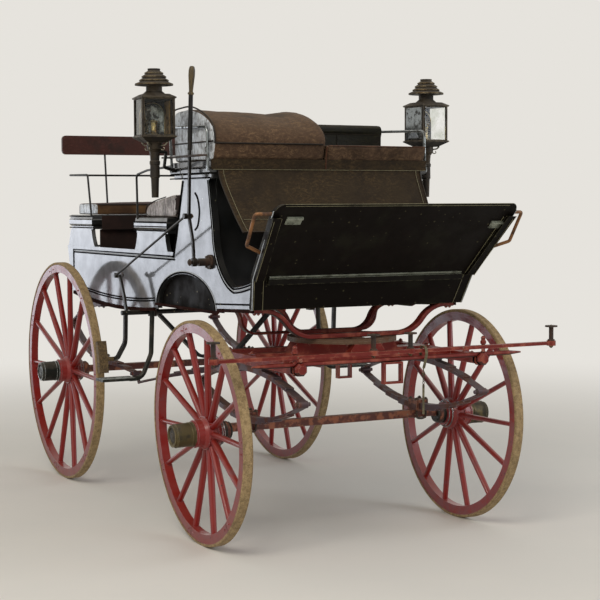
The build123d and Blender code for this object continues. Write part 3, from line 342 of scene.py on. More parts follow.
@dataclass(frozen=True)
class Paint(Finish):
    """Brushed and varnished paint with worn edges, patches, chips and dust; on the wheels the pale outward
    faces and edges are also painted reflection.
    """

    worn: str = "8a7a70"
    edge: str = "6a6456"
    edge_radius: float = 0.004
    patch_scale: float = 9.0
    patch_low: float = 0.52
    patch_high: float = 0.7
    # strength of a painted reflection on faces that look out to the side
    outward_painted_sheen: float = 0.0
    under: str = ""
    dust: float = 0.25
    dust_colour: str = "8d8272"
    speck_scale: float = 70.0
    speck_rarity: float = 0.93
    speck: str = "6f6a55"
    gloss: float = 0.0
    coat_roughness: float = 0.06
    specular: float = 0.5
    ripple: float = 0.0006

    def shade(self, graph: Graph, place: Socket, shader: Node) -> None:
        """Ground colour, then patches with a painted reflection on outward faces, the underside's colour,
        edges, specks and dust.
        """
        spread = {"Scale": self.patch_scale, "Low": self.patch_low, "High": self.patch_high}
        patch = EFFECTS.use(graph, EFFECTS.patches(), place, **spread).outputs[0]
        facing = EFFECTS.use(graph, EFFECTS.facing(), place)
        # faces that look out to the side take the worn colour as a painted reflection, broken up by noise
        if self.outward_painted_sheen:
            side = graph.times(facing.outputs["Outward"], self.outward_painted_sheen)
            broken = graph.ramp(graph.noise(place, 26.0, 6.0, 0.7), 0.3, 0.62)
            patch = graph.math("MAXIMUM", patch, graph.times(side, broken))
        shown = graph.mix(patch, self.ground, self.worn)
        # downward faces take the under colour; on the gear and axle paints that darker colour is painted
        # shade
        if self.under:
            shown = graph.mix(facing.outputs["Down"], shown, self.under)
        edge = EFFECTS.use(graph, EFFECTS.edges(), place, Radius=self.edge_radius).outputs[0]
        shown = graph.mix(edge, shown, self.edge)
        spread = {"Scale": self.speck_scale, "Rarity": self.speck_rarity}
        dots = EFFECTS.use(graph, EFFECTS.specks(), place, **spread).outputs[0]
        shown = graph.mix(dots, shown, self.speck)
        dust = EFFECTS.use(graph, EFFECTS.dust(), place, Amount=self.dust).outputs[0]
        shown = graph.mix(dust, shown, self.dust_colour)
        graph.feed(shader, "Base Color", shown)
        cloud = graph.noise(place, 11.0, 5.0)
        rough = graph.ramp(cloud, 0.3, 0.75, self.roughness * 0.8, self.roughness * 1.3)
        rough = graph.math("ADD", rough, graph.times(dust, 0.35))
        graph.feed(shader, "Roughness", rough)
        graph.feed(shader, "Specular IOR Level", self.specular)
        graph.feed(shader, "Coat Weight", self.gloss)
        graph.feed(shader, "Coat Roughness", self.coat_roughness)
        if self.ripple:
            self.bump(graph, shader, graph.noise(place, 34.0, 5.0), self.ripple, 0.5)


@dataclass(frozen=True)
class Metal(Finish):
    """Bare, plated or rusted metal."""

    rust: str = "5a3a28"
    bright: str = "b8ad98"
    rust_low: float = 0.45
    rust_high: float = 0.62
    rust_scale: float = 16.0
    metallic: float = 0.85
    dust: float = 0.2
    pits: float = 0.0006

    def shade(self, graph: Graph, place: Socket, shader: Node) -> None:
        """Metal with tarnish, pits and rubbed edges."""
        spread = {"Scale": self.rust_scale, "Low": self.rust_low, "High": self.rust_high}
        rust = EFFECTS.use(graph, EFFECTS.patches(), place, **spread).outputs[0]
        edge = EFFECTS.use(graph, EFFECTS.edges(), place, Radius=0.003, Scale=40.0).outputs[0]
        dust = EFFECTS.use(graph, EFFECTS.dust(), place, Amount=self.dust).outputs[0]
        shown = graph.mix(rust, self.ground, self.rust)
        shown = graph.mix(edge, shown, self.bright)
        shown = graph.mix(dust, shown, "8d8272")
        graph.feed(shader, "Base Color", shown)
        shiny = graph.ramp(rust, 0.0, 1.0, self.metallic, self.metallic * 0.3)
        graph.feed(shader, "Metallic", graph.math("SUBTRACT", shiny, dust))
        rough = graph.ramp(rust, 0.0, 1.0, self.roughness, min(1.0, self.roughness + 0.3))
        graph.feed(shader, "Roughness", graph.math("ADD", rough, dust))
        self.bump(graph, shader, graph.noise(place, 60.0, 6.0, 0.65), self.pits, 0.6)


@dataclass(frozen=True)
class Leather(Finish):
    """Cracked old hide with rubbed, paler high places."""

    worn: str = "7a6655"
    stain: str = "1d1713"
    crease_scale: float = 16.0
    depth: float = 0.0022
    dust: float = 0.25
    specular: float = 0.22

    def shade(self, graph: Graph, place: Socket, shader: Node) -> None:
        """Creases, rubbed tops and dark stains."""
        hide = EFFECTS.use(graph, EFFECTS.creases(), place, Scale=self.crease_scale)
        stain = EFFECTS.use(graph, EFFECTS.patches(), place, Scale=5.0, Low=0.5, High=0.66).outputs[0]
        dust = EFFECTS.use(graph, EFFECTS.dust(), place, Amount=self.dust, Scale=9.0).outputs[0]
        shown = graph.mix(hide.outputs["Worn"], self.ground, self.worn)
        shown = graph.mix(graph.times(stain, 0.6), shown, self.stain)
        shown = graph.mix(dust, shown, "8a7c68")
        graph.feed(shader, "Base Color", shown)
        rough = graph.ramp(hide.outputs["Worn"], 0.0, 1.0, self.roughness, self.roughness + 0.2)
        graph.feed(shader, "Roughness", rough)
        graph.feed(shader, "Specular IOR Level", self.specular)
        self.bump(graph, shader, hide.outputs["Height"], self.depth, 0.7)


@dataclass(frozen=True)
class StrokedHide(Finish):
    """Worn hide that shines in fine strokes between dark cracks."""

    dark: str = "3a3634"
    tilt: float = 0.5
    shine: float = 0.3
    low: float = 0.42
    high: float = 0.58

    def shade(self, graph: Graph, place: Socket, shader: Node) -> None:
        """Strokes along a slant, broken by broad dark smears."""
        slant = {0: place, 2: (0.0, self.tilt, 0.0), 3: (46.0, 12.0, 7.0)}
        slanted = graph.node("ShaderNodeMapping", slant)
        strokes = graph.noise(slanted.outputs[0], 3.0, 7.0, 0.72)
        smears = graph.noise(place, 17.0, 5.0, 0.65)
        bright = graph.ramp(strokes, self.low, self.high)
        pale = graph.times(bright, graph.ramp(smears, 0.34, 0.56, 0.15, 1.0))
        shown = graph.mix(pale, self.dark, self.ground)
        graph.feed(shader, "Base Color", shown)
        graph.feed(shader, "Metallic", graph.times(pale, self.shine))
        self.bump(graph, shader, strokes, 0.0018, 0.8)


@dataclass(frozen=True)
class Cloth(Finish):
    """Woven upholstery, faded in patches."""

    thread: str = "3b322b"
    faded: str = "8d8172"
    threads: float = 1100.0
    sheen: float = 0.1

    def shade(self, graph: Graph, place: Socket, shader: Node) -> None:
        """Threads in two shades, faded where the light falls."""
        woven = EFFECTS.use(graph, EFFECTS.weave(), place, Threads=self.threads)
        fade = EFFECTS.use(graph, EFFECTS.patches(), place, Scale=7.0, Low=0.4, High=0.75).outputs[0]
        shown = graph.mix(woven.outputs["Mask"], self.thread, self.ground)
        shown = graph.mix(graph.times(fade, 0.5), shown, self.faded)
        graph.feed(shader, "Base Color", shown)
        graph.feed(shader, "Sheen Weight", self.sheen)
        graph.feed(shader, "Specular IOR Level", 0.15)
        self.bump(graph, shader, woven.outputs["Height"], 0.0006, 0.6)


@dataclass(frozen=True)
class Rubber(Finish):
    """Dusty solid tyre rubber with small stones pressed in."""

    dusty: str = "a08f6a"
    dark: str = "4a4132"

    def shade(self, graph: Graph, place: Socket, shader: Node) -> None:
        """Dust in patches over worn rubber."""
        coarse = graph.ramp(graph.noise(place, 42.0, 8.0, 0.75), 0.36, 0.64)
        fine = graph.ramp(graph.noise(place, 190.0, 4.0, 0.7), 0.4, 0.62)
        edge = EFFECTS.use(graph, EFFECTS.edges(), place, Radius=0.008, Scale=18.0).outputs[0]
        shown = graph.mix(coarse, self.ground, self.dusty)
        shown = graph.mix(graph.times(fine, 0.4), shown, self.dark)
        shown = graph.mix(edge, shown, self.dark)
        graph.feed(shader, "Base Color", shown)
        self.bump(graph, shader, graph.noise(place, 150.0, 5.0, 0.7), 0.0012, 0.8)


@dataclass(frozen=True)
class Timber(Finish):
    """Bare or thinly stained wood with grain along one axis."""

    grain: str = "3f3323"
    stretch: Point = (3.0, 40.0, 40.0)

    def shade(self, graph: Graph, place: Socket, shader: Node) -> None:
        """Long grain lines and a few dark patches."""
        lines = graph.noise(graph.stretched(place, self.stretch), 3.0, 8.0, 0.7)
        dark = EFFECTS.use(graph, EFFECTS.patches(), place, Scale=8.0, Low=0.5, High=0.7).outputs[0]
        shown = graph.mix(graph.ramp(lines, 0.35, 0.65), self.grain, self.ground)
        shown = graph.mix(graph.times(dark, 0.5), shown, self.grain)
        graph.feed(shader, "Base Color", shown)
        self.bump(graph, shader, lines, 0.001, 0.6)


@dataclass(frozen=True)
class Glass(Finish):
    """Clear old lamp glass with a slight wave."""

    def shade(self, graph: Graph, place: Socket, shader: Node) -> None:
        """Clear glass with a patchy dusty film."""
        graph.feed(shader, "Transmission Weight", 1.0)
        graph.feed(shader, "IOR", 1.25)
        film = graph.ramp(graph.noise(place, 12.0, 4.0), 0.3, 0.8, 0.0, 1.0)
        shown = graph.mix(film, self.ground, "d8dcd2")
        graph.feed(shader, "Base Color", shown)
        self.bump(graph, shader, graph.noise(place, 9.0, 2.0), 0.0006, 0.3)


COACH_BLACK = Paint(
    "varnished coach black", "0d0f10", 0.45, worn="15181a", edge="2f3230", dust=0.06,
    speck_rarity=0.985, gloss=1.0, coat_roughness=0.09, ripple=0.0008,
)
# its pale edge colour is a painted highlight along the board's edges, on top of edge wear
BOARD_BLACK = Paint(
    "dull board black", "0f0b08", 0.5, worn="1a1912", edge="5c5a46", edge_radius=0.005,
    patch_scale=5.0, dust=0.12, speck_scale=60.0, speck_rarity=0.86, speck="3f3c2c", specular=0.08,
)
ENAMEL_BLACK = Paint(
    "black ironwork enamel", "0e0d0c", 0.42, worn="231e1a", edge="4c463e", dust=0.08, specular=0.3,
)
RECESS_BLACK = Paint(
    "dull recess black", "100e0d", 0.6, worn="1a1716", edge="2c2826", dust=0.05, specular=0.05,
)
# pale mauve on the outward faces is a painted reflection over real wear patches; the pale pink edges are a
# painted highlight over edge wear
WHEEL_RED = Paint(
    "wheel red", "84130c", 0.36, worn="74353a", edge="b08488", patch_low=0.56, patch_high=0.74,
    outward_painted_sheen=0.85, dust=0.12, speck_rarity=0.95, speck="3c1512", gloss=0.25,
)
# its dark under colour on downward faces is painted shade
GEAR_RED = Paint(
    "under-carriage red", "6b1a13", 0.45, worn="934a38", edge="b07a68", patch_scale=14.0,
    patch_low=0.48, patch_high=0.66, under="1f100e", dust=0.14, dust_colour="8a5c4c", gloss=0.1,
    specular=0.3,
)
# its dark under colour on downward faces is painted shade
AXLE_BROWN = Paint(
    "rusty axle paint", "4f2219", 0.55, worn="8a5238", edge="9c8270", patch_scale=26.0,
    patch_low=0.46, patch_high=0.6, under="2a1a16", dust=0.3,
)
SPRING_STEEL = Metal("painted spring steel", "4a3a40", 0.42, rust="5c3527", bright="a8979a", metallic=0.45)
RING_IRON = Metal(
    "turntable iron", "5c4533", 0.55, rust="603d29", bright="8f7d63", metallic=0.25, dust=0.08,
)
STEP_IRON = Metal("step iron", "1d201d", 0.38, rust="2c2820", bright="a9aba4", metallic=0.6)
BRASS = Metal("aged brass", "5e4b2d", 0.36, rust="2e2415", bright="a89c7c", metallic=0.85, rust_low=0.4)
BRASS_DARK = Metal(
    "dark brass", "383026", 0.42, rust="1c1712", bright="857a64", metallic=0.7, rust_low=0.36,
)
COPPER_BROWN = Metal(
    "copper brown rod", "8a5f38", 0.42, rust="4a3222", bright="c49c68", metallic=0.4, dust=0.06,
)
CAP_BRASS = Metal("olive hub brass", "5b5136", 0.42, rust="2f2a1c", bright="a99c72", metallic=0.7)
SILVERED = Metal(
    "mottled mirror plate", "8a8f90", 0.2, rust="2b2c2a", bright="d8dcdc", metallic=1.0,
    rust_scale=30.0,
)
RUST_BROWN = Metal("rusty brown iron", "2b221d", 0.55, rust="3f2c22", bright="7c6c5c", metallic=0.3)
LAMP_GLASS = Glass("lamp glass", "ffffff", 0.02)
KHAKI_RUBBER = Rubber("dusty tyre rubber", "866f4c", 0.85, dusty="b39a70")
SEAT_LEATHER = Leather(
    "cracked seat leather", "4f3d30", 0.66, worn="866c51", stain="261d16", crease_scale=21.0,
    dust=0.14, specular=0.12,
)
APRON_LEATHER = Leather(
    "apron leather", "2e251a", 0.7, worn="53442f", crease_scale=12.0, dust=0.06, specular=0.12,
)
BACK_LEATHER = Leather("black back leather", "15150f", 0.5, worn="33321f", dust=0.1)
GOLD_CLOTH = Cloth("gold brown cloth", "533a25", 0.85, thread="2a1c13", faded="775936")
DARK_CLOTH = Cloth("dark brown cloth", "2a1d19", 0.9, thread="150e0c", faded="3c2822", sheen=0.05)
DARK_RED_CLOTH = Cloth("dark red cloth", "3f2722", 0.88, thread="24120f", faded="5a403a", sheen=0.1)
# a pale blue-white hide that paints the reflection on dark leather cushion ends
PAINTED_REFLECTION_HIDE = StrokedHide(
    "hide with painted reflection", "d5dce3", 0.4, dark="3c3a3a", tilt=0.1, shine=0.2, low=0.34, high=0.52,
)
STROKED_GREY = StrokedHide("grey stroked hide", "b9b1ad", 0.5, dark="43372f", tilt=0.45)
BOARD_LEATHER = Leather(
    "dark red board hide", "3a1d16", 0.4, worn="54302a", crease_scale=30.0, depth=0.0008, dust=0.1,
)
PIPING = Leather("dark piping", "15100d", 0.6, worn="332820", crease_scale=60.0, depth=0.0006)
RED_PIPING = Leather("red brown piping", "4a2a1c", 0.5, worn="7a5238", crease_scale=60.0, depth=0.0006)
DARK_PIPING = Cloth("dark cloth piping", "1c1512", 0.9, thread="0f0b0a", faded="2c2420")
STRAP_OLIVE = Leather("old olive strap", "5c5642", 0.6, worn="8a8266", crease_scale=70.0, depth=0.0006)
SEAM_OLIVE = Paint(
    "pale seam line", "6e6a50", 0.5, worn="3f3c2c", edge="8d8868", speck_rarity=0.9, ripple=0.0,
)
PLATE_GREEN = Metal(
    "grey green plate", "868c7e", 0.4, rust="4a4e42", bright="c4cabc", metallic=0.3, dust=0.1,
)
BEAD_BLACK = Paint(
    "black bead line", "060607", 0.8, worn="0e0e0e", edge="141414", dust=0.0, specular=0.03,
    ripple=0.0,
)
# pale lines that paint the highlights along the mouldings' edges
PAINTED_HIGHLIGHT_BEAD = Paint("painted highlight line", "aab2ba", 0.35, worn="7f878e", edge="c8ced4", dust=0.0, ripple=0.0)
SILL_RED = Paint(
    "sill strip red", "24100d", 0.8, worn="331a16", edge="42291f", under="54261f", dust=0.0,
    specular=0.03, ripple=0.0,
)
JOINT_DARK = Paint("felloe joint", "1a0a08", 0.7, dust=0.0, ripple=0.0)
GRIP_BROWN = Timber("olive brown grip", "5a4c2e", 0.5, grain="2c2415", stretch=(30.0, 30.0, 4.0))
AMBER_PLATE = Metal(
    "amber side plate", "94702e", 0.3, rust="3a2a12", bright="c09a4a", metallic=0.6, dust=0.0,
)
BRIGHT_BRASS = Metal(
    "bright brass", "a8976a", 0.25, rust="5a4c2c", bright="e2d8b0", metallic=0.95, dust=0.0,
)
PALE_BRASS = Metal(
    "pale worn brass", "8d8878", 0.35, rust="4a4534", bright="c8c4b4", metallic=0.7, dust=0.05,
)
# a bright steel plate that paints a glint on the lamps' mirror plates
PAINTED_GLINT_STEEL = Metal("bright plate", "c4ccd4", 0.18, rust="7a8088", bright="f0f4f8", metallic=0.9, dust=0.0)
TREAD_SILVER = Metal(
    "worn tread ribs", "7c817c", 0.35, rust="2c2e2a", bright="c0c4be", metallic=0.7, rust_low=0.5,
)
BLOCK_WOOD = Timber("brake block wood", "75603f", 0.75)
FLOOR_WOOD = Timber("body floor wood", "4a3d2e", 0.7, grain="2a2219")

DRESS: tuple[tuple[Finish, tuple[str, ...]], ...] = (
    (COACH_BLACK, ("body_side_right", "body_side_left", "tail_panel", "boot_panels")),
    (COACH_BLACK, ("box_seat_board", "rear_seat_base", "middle_seat_base")),
    (BOARD_LEATHER, ("backrest_board",)),
    (BOARD_BLACK, ("footboard",)),
    (RECESS_BLACK, ("arch_panels",)),
    (SILVERED, ("box_rails",)),
    (COPPER_BROWN, ("footboard_handles",)),
    (FLOOR_WOOD, ("body_floor", "toe_floor")),
    (ENAMEL_BLACK, ("seat_rails", "lamp_brackets", "drop_iron")),
    (ENAMEL_BLACK, ("brake_rod", "brake_shaft", "brake_lever")),
    (WHEEL_RED, ("rear_left_wheel", "rear_right_wheel", "front_left_wheel", "front_right_wheel")),
    (KHAKI_RUBBER, ("rear_left_tyre", "rear_right_tyre", "front_left_tyre", "front_right_tyre")),
    (CAP_BRASS, ("front_left_hub_cap", "front_right_hub_cap")),
    (STEP_IRON, ("rear_left_hub_cap", "rear_right_hub_cap", "steps")),
    (GEAR_RED, ("body_irons", "fore_bed", "splinter_bars", "bar_pillars", "pole_sockets")),
    (AXLE_BROWN, ("front_axle", "rear_axle", "front_spring_clamps")),
    (SPRING_STEEL, ("front_springs", "rear_springs", "cross_spring")),
    (RING_IRON, ("upper_ring", "lower_ring")),
    (RUST_BROWN, ("roller_bolts", "brake_brackets")),
    (BRASS_DARK, ("lamps",)),
    (LAMP_GLASS, ("lamp_glasses",)),
    (BLOCK_WOOD, ("brake_blocks",)),
)


def dress_nodes() -> None:
    """Give every carried-over CAD node its finish."""
    for finish, names in DRESS:
        for name in names:
            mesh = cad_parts[name].data
            mesh.materials.clear()
            mesh.materials.append(finish.material())
            log.info("%s: %s", name, finish.name)


@dataclass
class Studio:
    """The pale floor, the soft lights and the camera at the photograph's angle."""

    eye: Point = (7.471, -3.509, 1.601)
    yaw: float = -0.473203
    pitch: float = 0.0631445
    roll: float = -0.00487965
    lens: float = 90.6
    sensor: float = 36.0
    floor_half: float = 60.0
    fade: tuple = (2.2, 8.0)
    pale: str = "e6e3dd"
    floor_tone: str = "deddd8"
    window_tint: str = "eaf1ff"
    ambient: float = 0.62
    coach_middle: Point = (0.2, 0.0, 1.0)
    lamp_size: tuple = (4.0, 4.0)
    lamps: tuple = (
        ("key", (5.5, -5.5, 6.5), 330.0, "fff6ea"),
        ("fill", (5.0, 7.0, 4.0), 170.0, "eef4ff"),
    )
    window_place: Point = (-5.0, -2.9, 1.05)
    window_aim: Point = (0.0, -0.55, 1.2)
    window_size: tuple = (2.6, 1.7)
    window_radiance: float = 2.5

    def camera(self) -> None:
        """Stand the camera where the photograph was taken."""
        level, drop = math.cos(self.pitch), math.sin(self.pitch)
        ahead = Vector((-math.cos(self.yaw) * level, -math.sin(self.yaw) * level, -drop))
        across = ahead.cross(Vector((0, 0, 1))).normalized()
        above = across.cross(ahead)
        turned = across * math.cos(self.roll) + above * math.sin(self.roll)
        upright = above * math.cos(self.roll) - across * math.sin(self.roll)
        data = bpy.data.cameras.new("photo camera")
        data.lens = self.lens
        data.sensor_width = self.sensor
        data.sensor_fit = "HORIZONTAL"
        made = bpy.data.objects.new("photo camera", data)
        bpy.context.collection.objects.link(made)
        turn = Matrix((turned, upright, -ahead)).transposed()
        made.matrix_world = Matrix.Translation(self.eye) @ turn.to_4x4()
        bpy.context.scene.camera = made

    def world(self) -> None:
        """White for what the camera, gloss and glass see, and a softer level as light."""
        made = bpy.data.worlds.new("studio")
        made.use_nodes = True
        made.node_tree.nodes.clear()
        graph = Graph(made.node_tree)
        path = graph.node("ShaderNodeLightPath").outputs
        seen = graph.math("MAXIMUM", path["Is Camera Ray"], path["Is Transmission Ray"])
        seen = graph.math("MAXIMUM", seen, path["Is Glossy Ray"])
        level = graph.ramp(seen, 0.0, 1.0, self.ambient, 1.0)
        sky = graph.node("ShaderNodeBackground", {"Color": colour(self.pale), "Strength": level})
        graph.node("ShaderNodeOutputWorld", {"Surface": sky.outputs[0]})
        bpy.context.scene.world = made

    def floor(self) -> None:
        """A plain pale floor that keeps the shadow."""
        half = self.floor_half
        corners = [(-half, -half, 0), (half, -half, 0), (half, half, 0), (-half, half, 0)]
        mesh = bpy.data.meshes.new("floor")
        mesh.from_pydata(corners, [], [(0, 1, 2, 3)])
        made = bpy.data.objects.new("floor", mesh)
        bpy.context.collection.objects.link(made)
        pale = bpy.data.materials.new("pale floor")
        pale.use_nodes = True
        graph = Graph(pale.node_tree)
        shader = pale.node_tree.nodes["Principled BSDF"]
        place = graph.node("ShaderNodeTexCoord").outputs["Object"]
        shade = graph.mix(graph.noise(place, 1.5, 3.0), self.pale, self.floor_tone)
        graph.feed(shader, "Base Color", shade)
        graph.feed(shader, "Roughness", 0.9)
        away = graph.node("ShaderNodeVectorMath", {0: place}, operation="LENGTH").outputs["Value"]
        seen = graph.node("ShaderNodeLightPath").outputs["Is Camera Ray"]
        far = graph.times(graph.ramp(away, *self.fade), seen)
        glow = graph.node("ShaderNodeEmission", {"Color": colour(self.pale), "Strength": 1.0}).outputs[0]
        both = graph.node("ShaderNodeMixShader", {0: far, 1: shader.outputs[0], 2: glow}).outputs[0]
        graph.feed(pale.node_tree.nodes["Material Output"], "Surface", both)
        mesh.materials.append(pale)

    def light(self, name: str, place: Point, aim: Point, size: Row, power: float, tint: str) -> Piece:
        """One soft light of a width and a height.

        Args:
            name: the light's name.
            place: where it stands.
            aim: where it looks.
            size: its width and height in metres.
            power: its power in watts.
            tint: its colour, six hexadecimal digits.

        Returns:
            The light.
        """
        data = bpy.data.lights.new(name, "AREA")
        data.shape = "RECTANGLE"
        data.size, data.size_y = size
        data.energy = power
        data.color = colour(tint)[:3]
        made = bpy.data.objects.new(name, data)
        bpy.context.collection.objects.link(made)
        way = Vector(aim) - Vector(place)
        made.matrix_world = Matrix.Translation(place) @ way.to_track_quat("-Z", "Y").to_matrix().to_4x4()
        return made

    def window(self) -> None:
        """A tall bright opening that the varnished side mirrors, as the doorway does in the photograph."""
        width, height = size = self.window_size
        power = self.window_radiance * math.pi * width * height
        made = self.light("window", self.window_place, self.window_aim, size, power, self.window_tint)
        made.visible_diffuse = False

    def build(self) -> None:
        """Set up the whole studio."""
        bpy.context.scene.view_settings.view_transform = "Standard"
        self.camera()
        self.world()
        self.floor()
        for name, place, power, tint in self.lamps:
            self.light(name, place, self.coach_middle, self.lamp_size, power, tint)
        self.window()


def settle(
    made: Piece,
    finish: Finish,
    body: str,
    replaces: Sequence[str] = (),
    smooth: float = 35.0,
) -> Piece:
    """Dress a finished piece and hang it on its body.

    Args:
        made: the piece, with its place in its mesh.
        finish: what its surface is made of.
        body: the moving body that carries it.
        replaces: solids of the frame that it stands for.
        smooth: edges sharper than this angle in degrees stay hard.

    Returns:
        The same piece.
    """
    if not made.data.materials:
        made.data.materials.append(finish.material())
    made.data.shade_smooth()
    made.data.set_sharp_from_angle(angle=math.radians(smooth))
    if not made.users_collection:
        bpy.context.collection.objects.link(made)
    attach(made, body)
    if replaces:
        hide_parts(*replaces)
    log.info("%s: %d faces on %s", made.name, len(made.data.polygons), body)
    return made


def millimetres(*values: float) -> Vector:
    """A place given in millimetres, as the drawings have it."""
    return Vector(values) / 1000


def smoothed(points: Sequence[Vector], spacing: float = 0.012) -> list[Vector]:
    """Round a route through its points, evenly divided.

    Args:
        points: the route's corners.
        spacing: distance between two results in metres.

    Returns:
        Points along the rounded route, its ends kept.
    """
    found = [points[0]]
    padded = [points[0] * 2 - points[1], *points, points[-1] * 2 - points[-2]]
    for before, start, end, after in zip(padded, padded[1:], padded[2:], padded[3:]):
        count = max(1, round((end - start).length / spacing))
        for step in range(1, count + 1):
            t = step / count
            curved = (
                start * 2
                + (end - before) * t
                + (before * 2 - start * 5 + end * 4 - after) * t**2
                + (start * 3 - before - end * 3 + after) * t**3
            )
            found.append(curved * 0.5)
    return found


def smoothed_flat(points: Sequence[tuple[float, float]]) -> list[tuple[float, float]]:
    """Round a line of X and Z pairs in millimetres."""
    return [(p.x, p.z) for p in smoothed([Vector((x, 0, z)) for x, z in points], 8.0)]


def square_on(axis: Vector) -> tuple[Vector, Vector]:
    """Two directions square to an axis and to each other."""
    spare = Vector((0, 0, 1)) if abs(axis.z) < 0.9 else Vector((1, 0, 0))
    first = spare.cross(axis).normalized()
    return first, axis.cross(first).normalized()


class Form:
    """A mesh that grows by rings, in the coach's own metres."""

    least_radius = 0.002  # millimetres, where a turned profile meets its axis
    weld = 0.00002  # metres, points closer than this become one

    def __init__(self) -> None:
        """Start empty."""
        self.mesh = bmesh.new()

    def rings(self, rings: Sequence[Sequence[Vector]], capped: bool = True) -> None:
        """Skin closed rings of equal count, with a face over each end where capped."""
        made = [[self.mesh.verts.new(point) for point in ring] for ring in rings]
        for first, second in zip(made, made[1:]):
            for i, corner in enumerate(first):
                j = (i + 1) % len(first)
                self.mesh.faces.new((corner, first[j], second[j], second[i]))
        if capped:
            self.mesh.faces.new(tuple(reversed(made[0])))
            self.mesh.faces.new(tuple(made[-1]))

    def turned(self, origin: Vector, axis: Vector, rows: Sequence[Row], segments: int = 40) -> None:
        """Turn a profile round an axis.

        Args:
            origin: where the axis starts.
            axis: its direction, of length one.
            rows: radius and height in millimetres.
            segments: faces round the axis.
        """
        first, second = square_on(axis)
        angles = [2 * math.pi * k / segments for k in range(segments)]
        rings = []
        for radius, height in rows:
            centre = origin + axis * (height / 1000)
            reach = max(radius, self.least_radius) / 1000
            rings.append([centre + (first * math.cos(a) + second * math.sin(a)) * reach for a in angles])
        self.rings(rings)

    def tube(self, points: Sequence[Vector], radii: object, segments: int = 10) -> None:
        """A round bar along points, of one radius or one for each point, in metres."""
        each = list(radii) if isinstance(radii, (list, tuple)) else [radii] * len(points)
        ahead = (points[1] - points[0]).normalized()
        across, _ = square_on(ahead)
        angles = [2 * math.pi * k / segments for k in range(segments)]
        rings = []
        for i, point in enumerate(points):
            before = points[max(i - 1, 0)]
            after = points[min(i + 1, len(points) - 1)]
            ahead = (after - before).normalized()
            across = (across - ahead * across.dot(ahead)).normalized()
            over = ahead.cross(across)
            rings.append([point + (across * math.cos(a) + over * math.sin(a)) * each[i] for a in angles])
        self.rings(rings)

    def strap(self, points: Sequence[Vector], across: Vector, width: float, thick: float) -> None:
        """A flat bar along points; across is the direction of its width."""
        rings = []
        for i, point in enumerate(points):
            ahead = (points[min(i + 1, len(points) - 1)] - points[max(i - 1, 0)]).normalized()
            over = ahead.cross(across).normalized()
            half, lift = across * (width / 2), over * (thick / 2)
            left, right = point - half, point + half
            rings.append([left - lift, right - lift, right + lift, left + lift])
        self.rings(rings)

    def block(self, low: Vector, high: Vector, bevel: float = 0.0) -> None:
        """A box between two corners, its edges eased."""
        made = bmesh.ops.create_cube(self.mesh, size=1.0)["verts"]
        size = high - low
        for vert in made:
            vert.co = low + Vector([size[k] * (vert.co[k] + 0.5) for k in range(3)])
        if bevel:
            edges = list({edge for vert in made for edge in vert.link_edges})
            bmesh.ops.bevel(self.mesh, geom=edges, offset=bevel, segments=2, affect="EDGES", profile=0.5)

    def sheet(self, rows: Sequence[Sequence[Vector]], thick: float) -> None:
        """A cloth or hide from rows of points, given a thickness to its back."""
        lines = [[self.mesh.verts.new(point) for point in row] for row in rows]
        faces = []
        for first, second in zip(lines, lines[1:]):
            for i in range(len(first) - 1):
                faces.append(self.mesh.faces.new((first[i], first[i + 1], second[i + 1], second[i])))
        bmesh.ops.recalc_face_normals(self.mesh, faces=faces)
        bmesh.ops.solidify(self.mesh, geom=faces, thickness=thick)

    def piece(
        self,
        name: str,
        finish: Finish,
        body: str,
        slot: str,
        replaces: Sequence[str] = (),
        smooth: float = 35.0,
    ) -> Piece:
        """Turn the form into a dressed piece, its faces pointing out.

        Args:
            name: the piece's name.
            finish: what its surface is made of.
            body: the moving body that carries it.
            slot: not used.
            replaces: solids of the frame that it stands for.
            smooth: edges sharper than this angle in degrees stay hard.

        Returns:
            The new piece.
        """
        bmesh.ops.remove_doubles(self.mesh, verts=self.mesh.verts, dist=self.weld)
        bmesh.ops.recalc_face_normals(self.mesh, faces=self.mesh.faces)
        data = bpy.data.meshes.new(name)
        self.mesh.to_mesh(data)
        self.mesh.free()
        return settle(bpy.data.objects.new(name, data), finish, body, replaces, smooth)


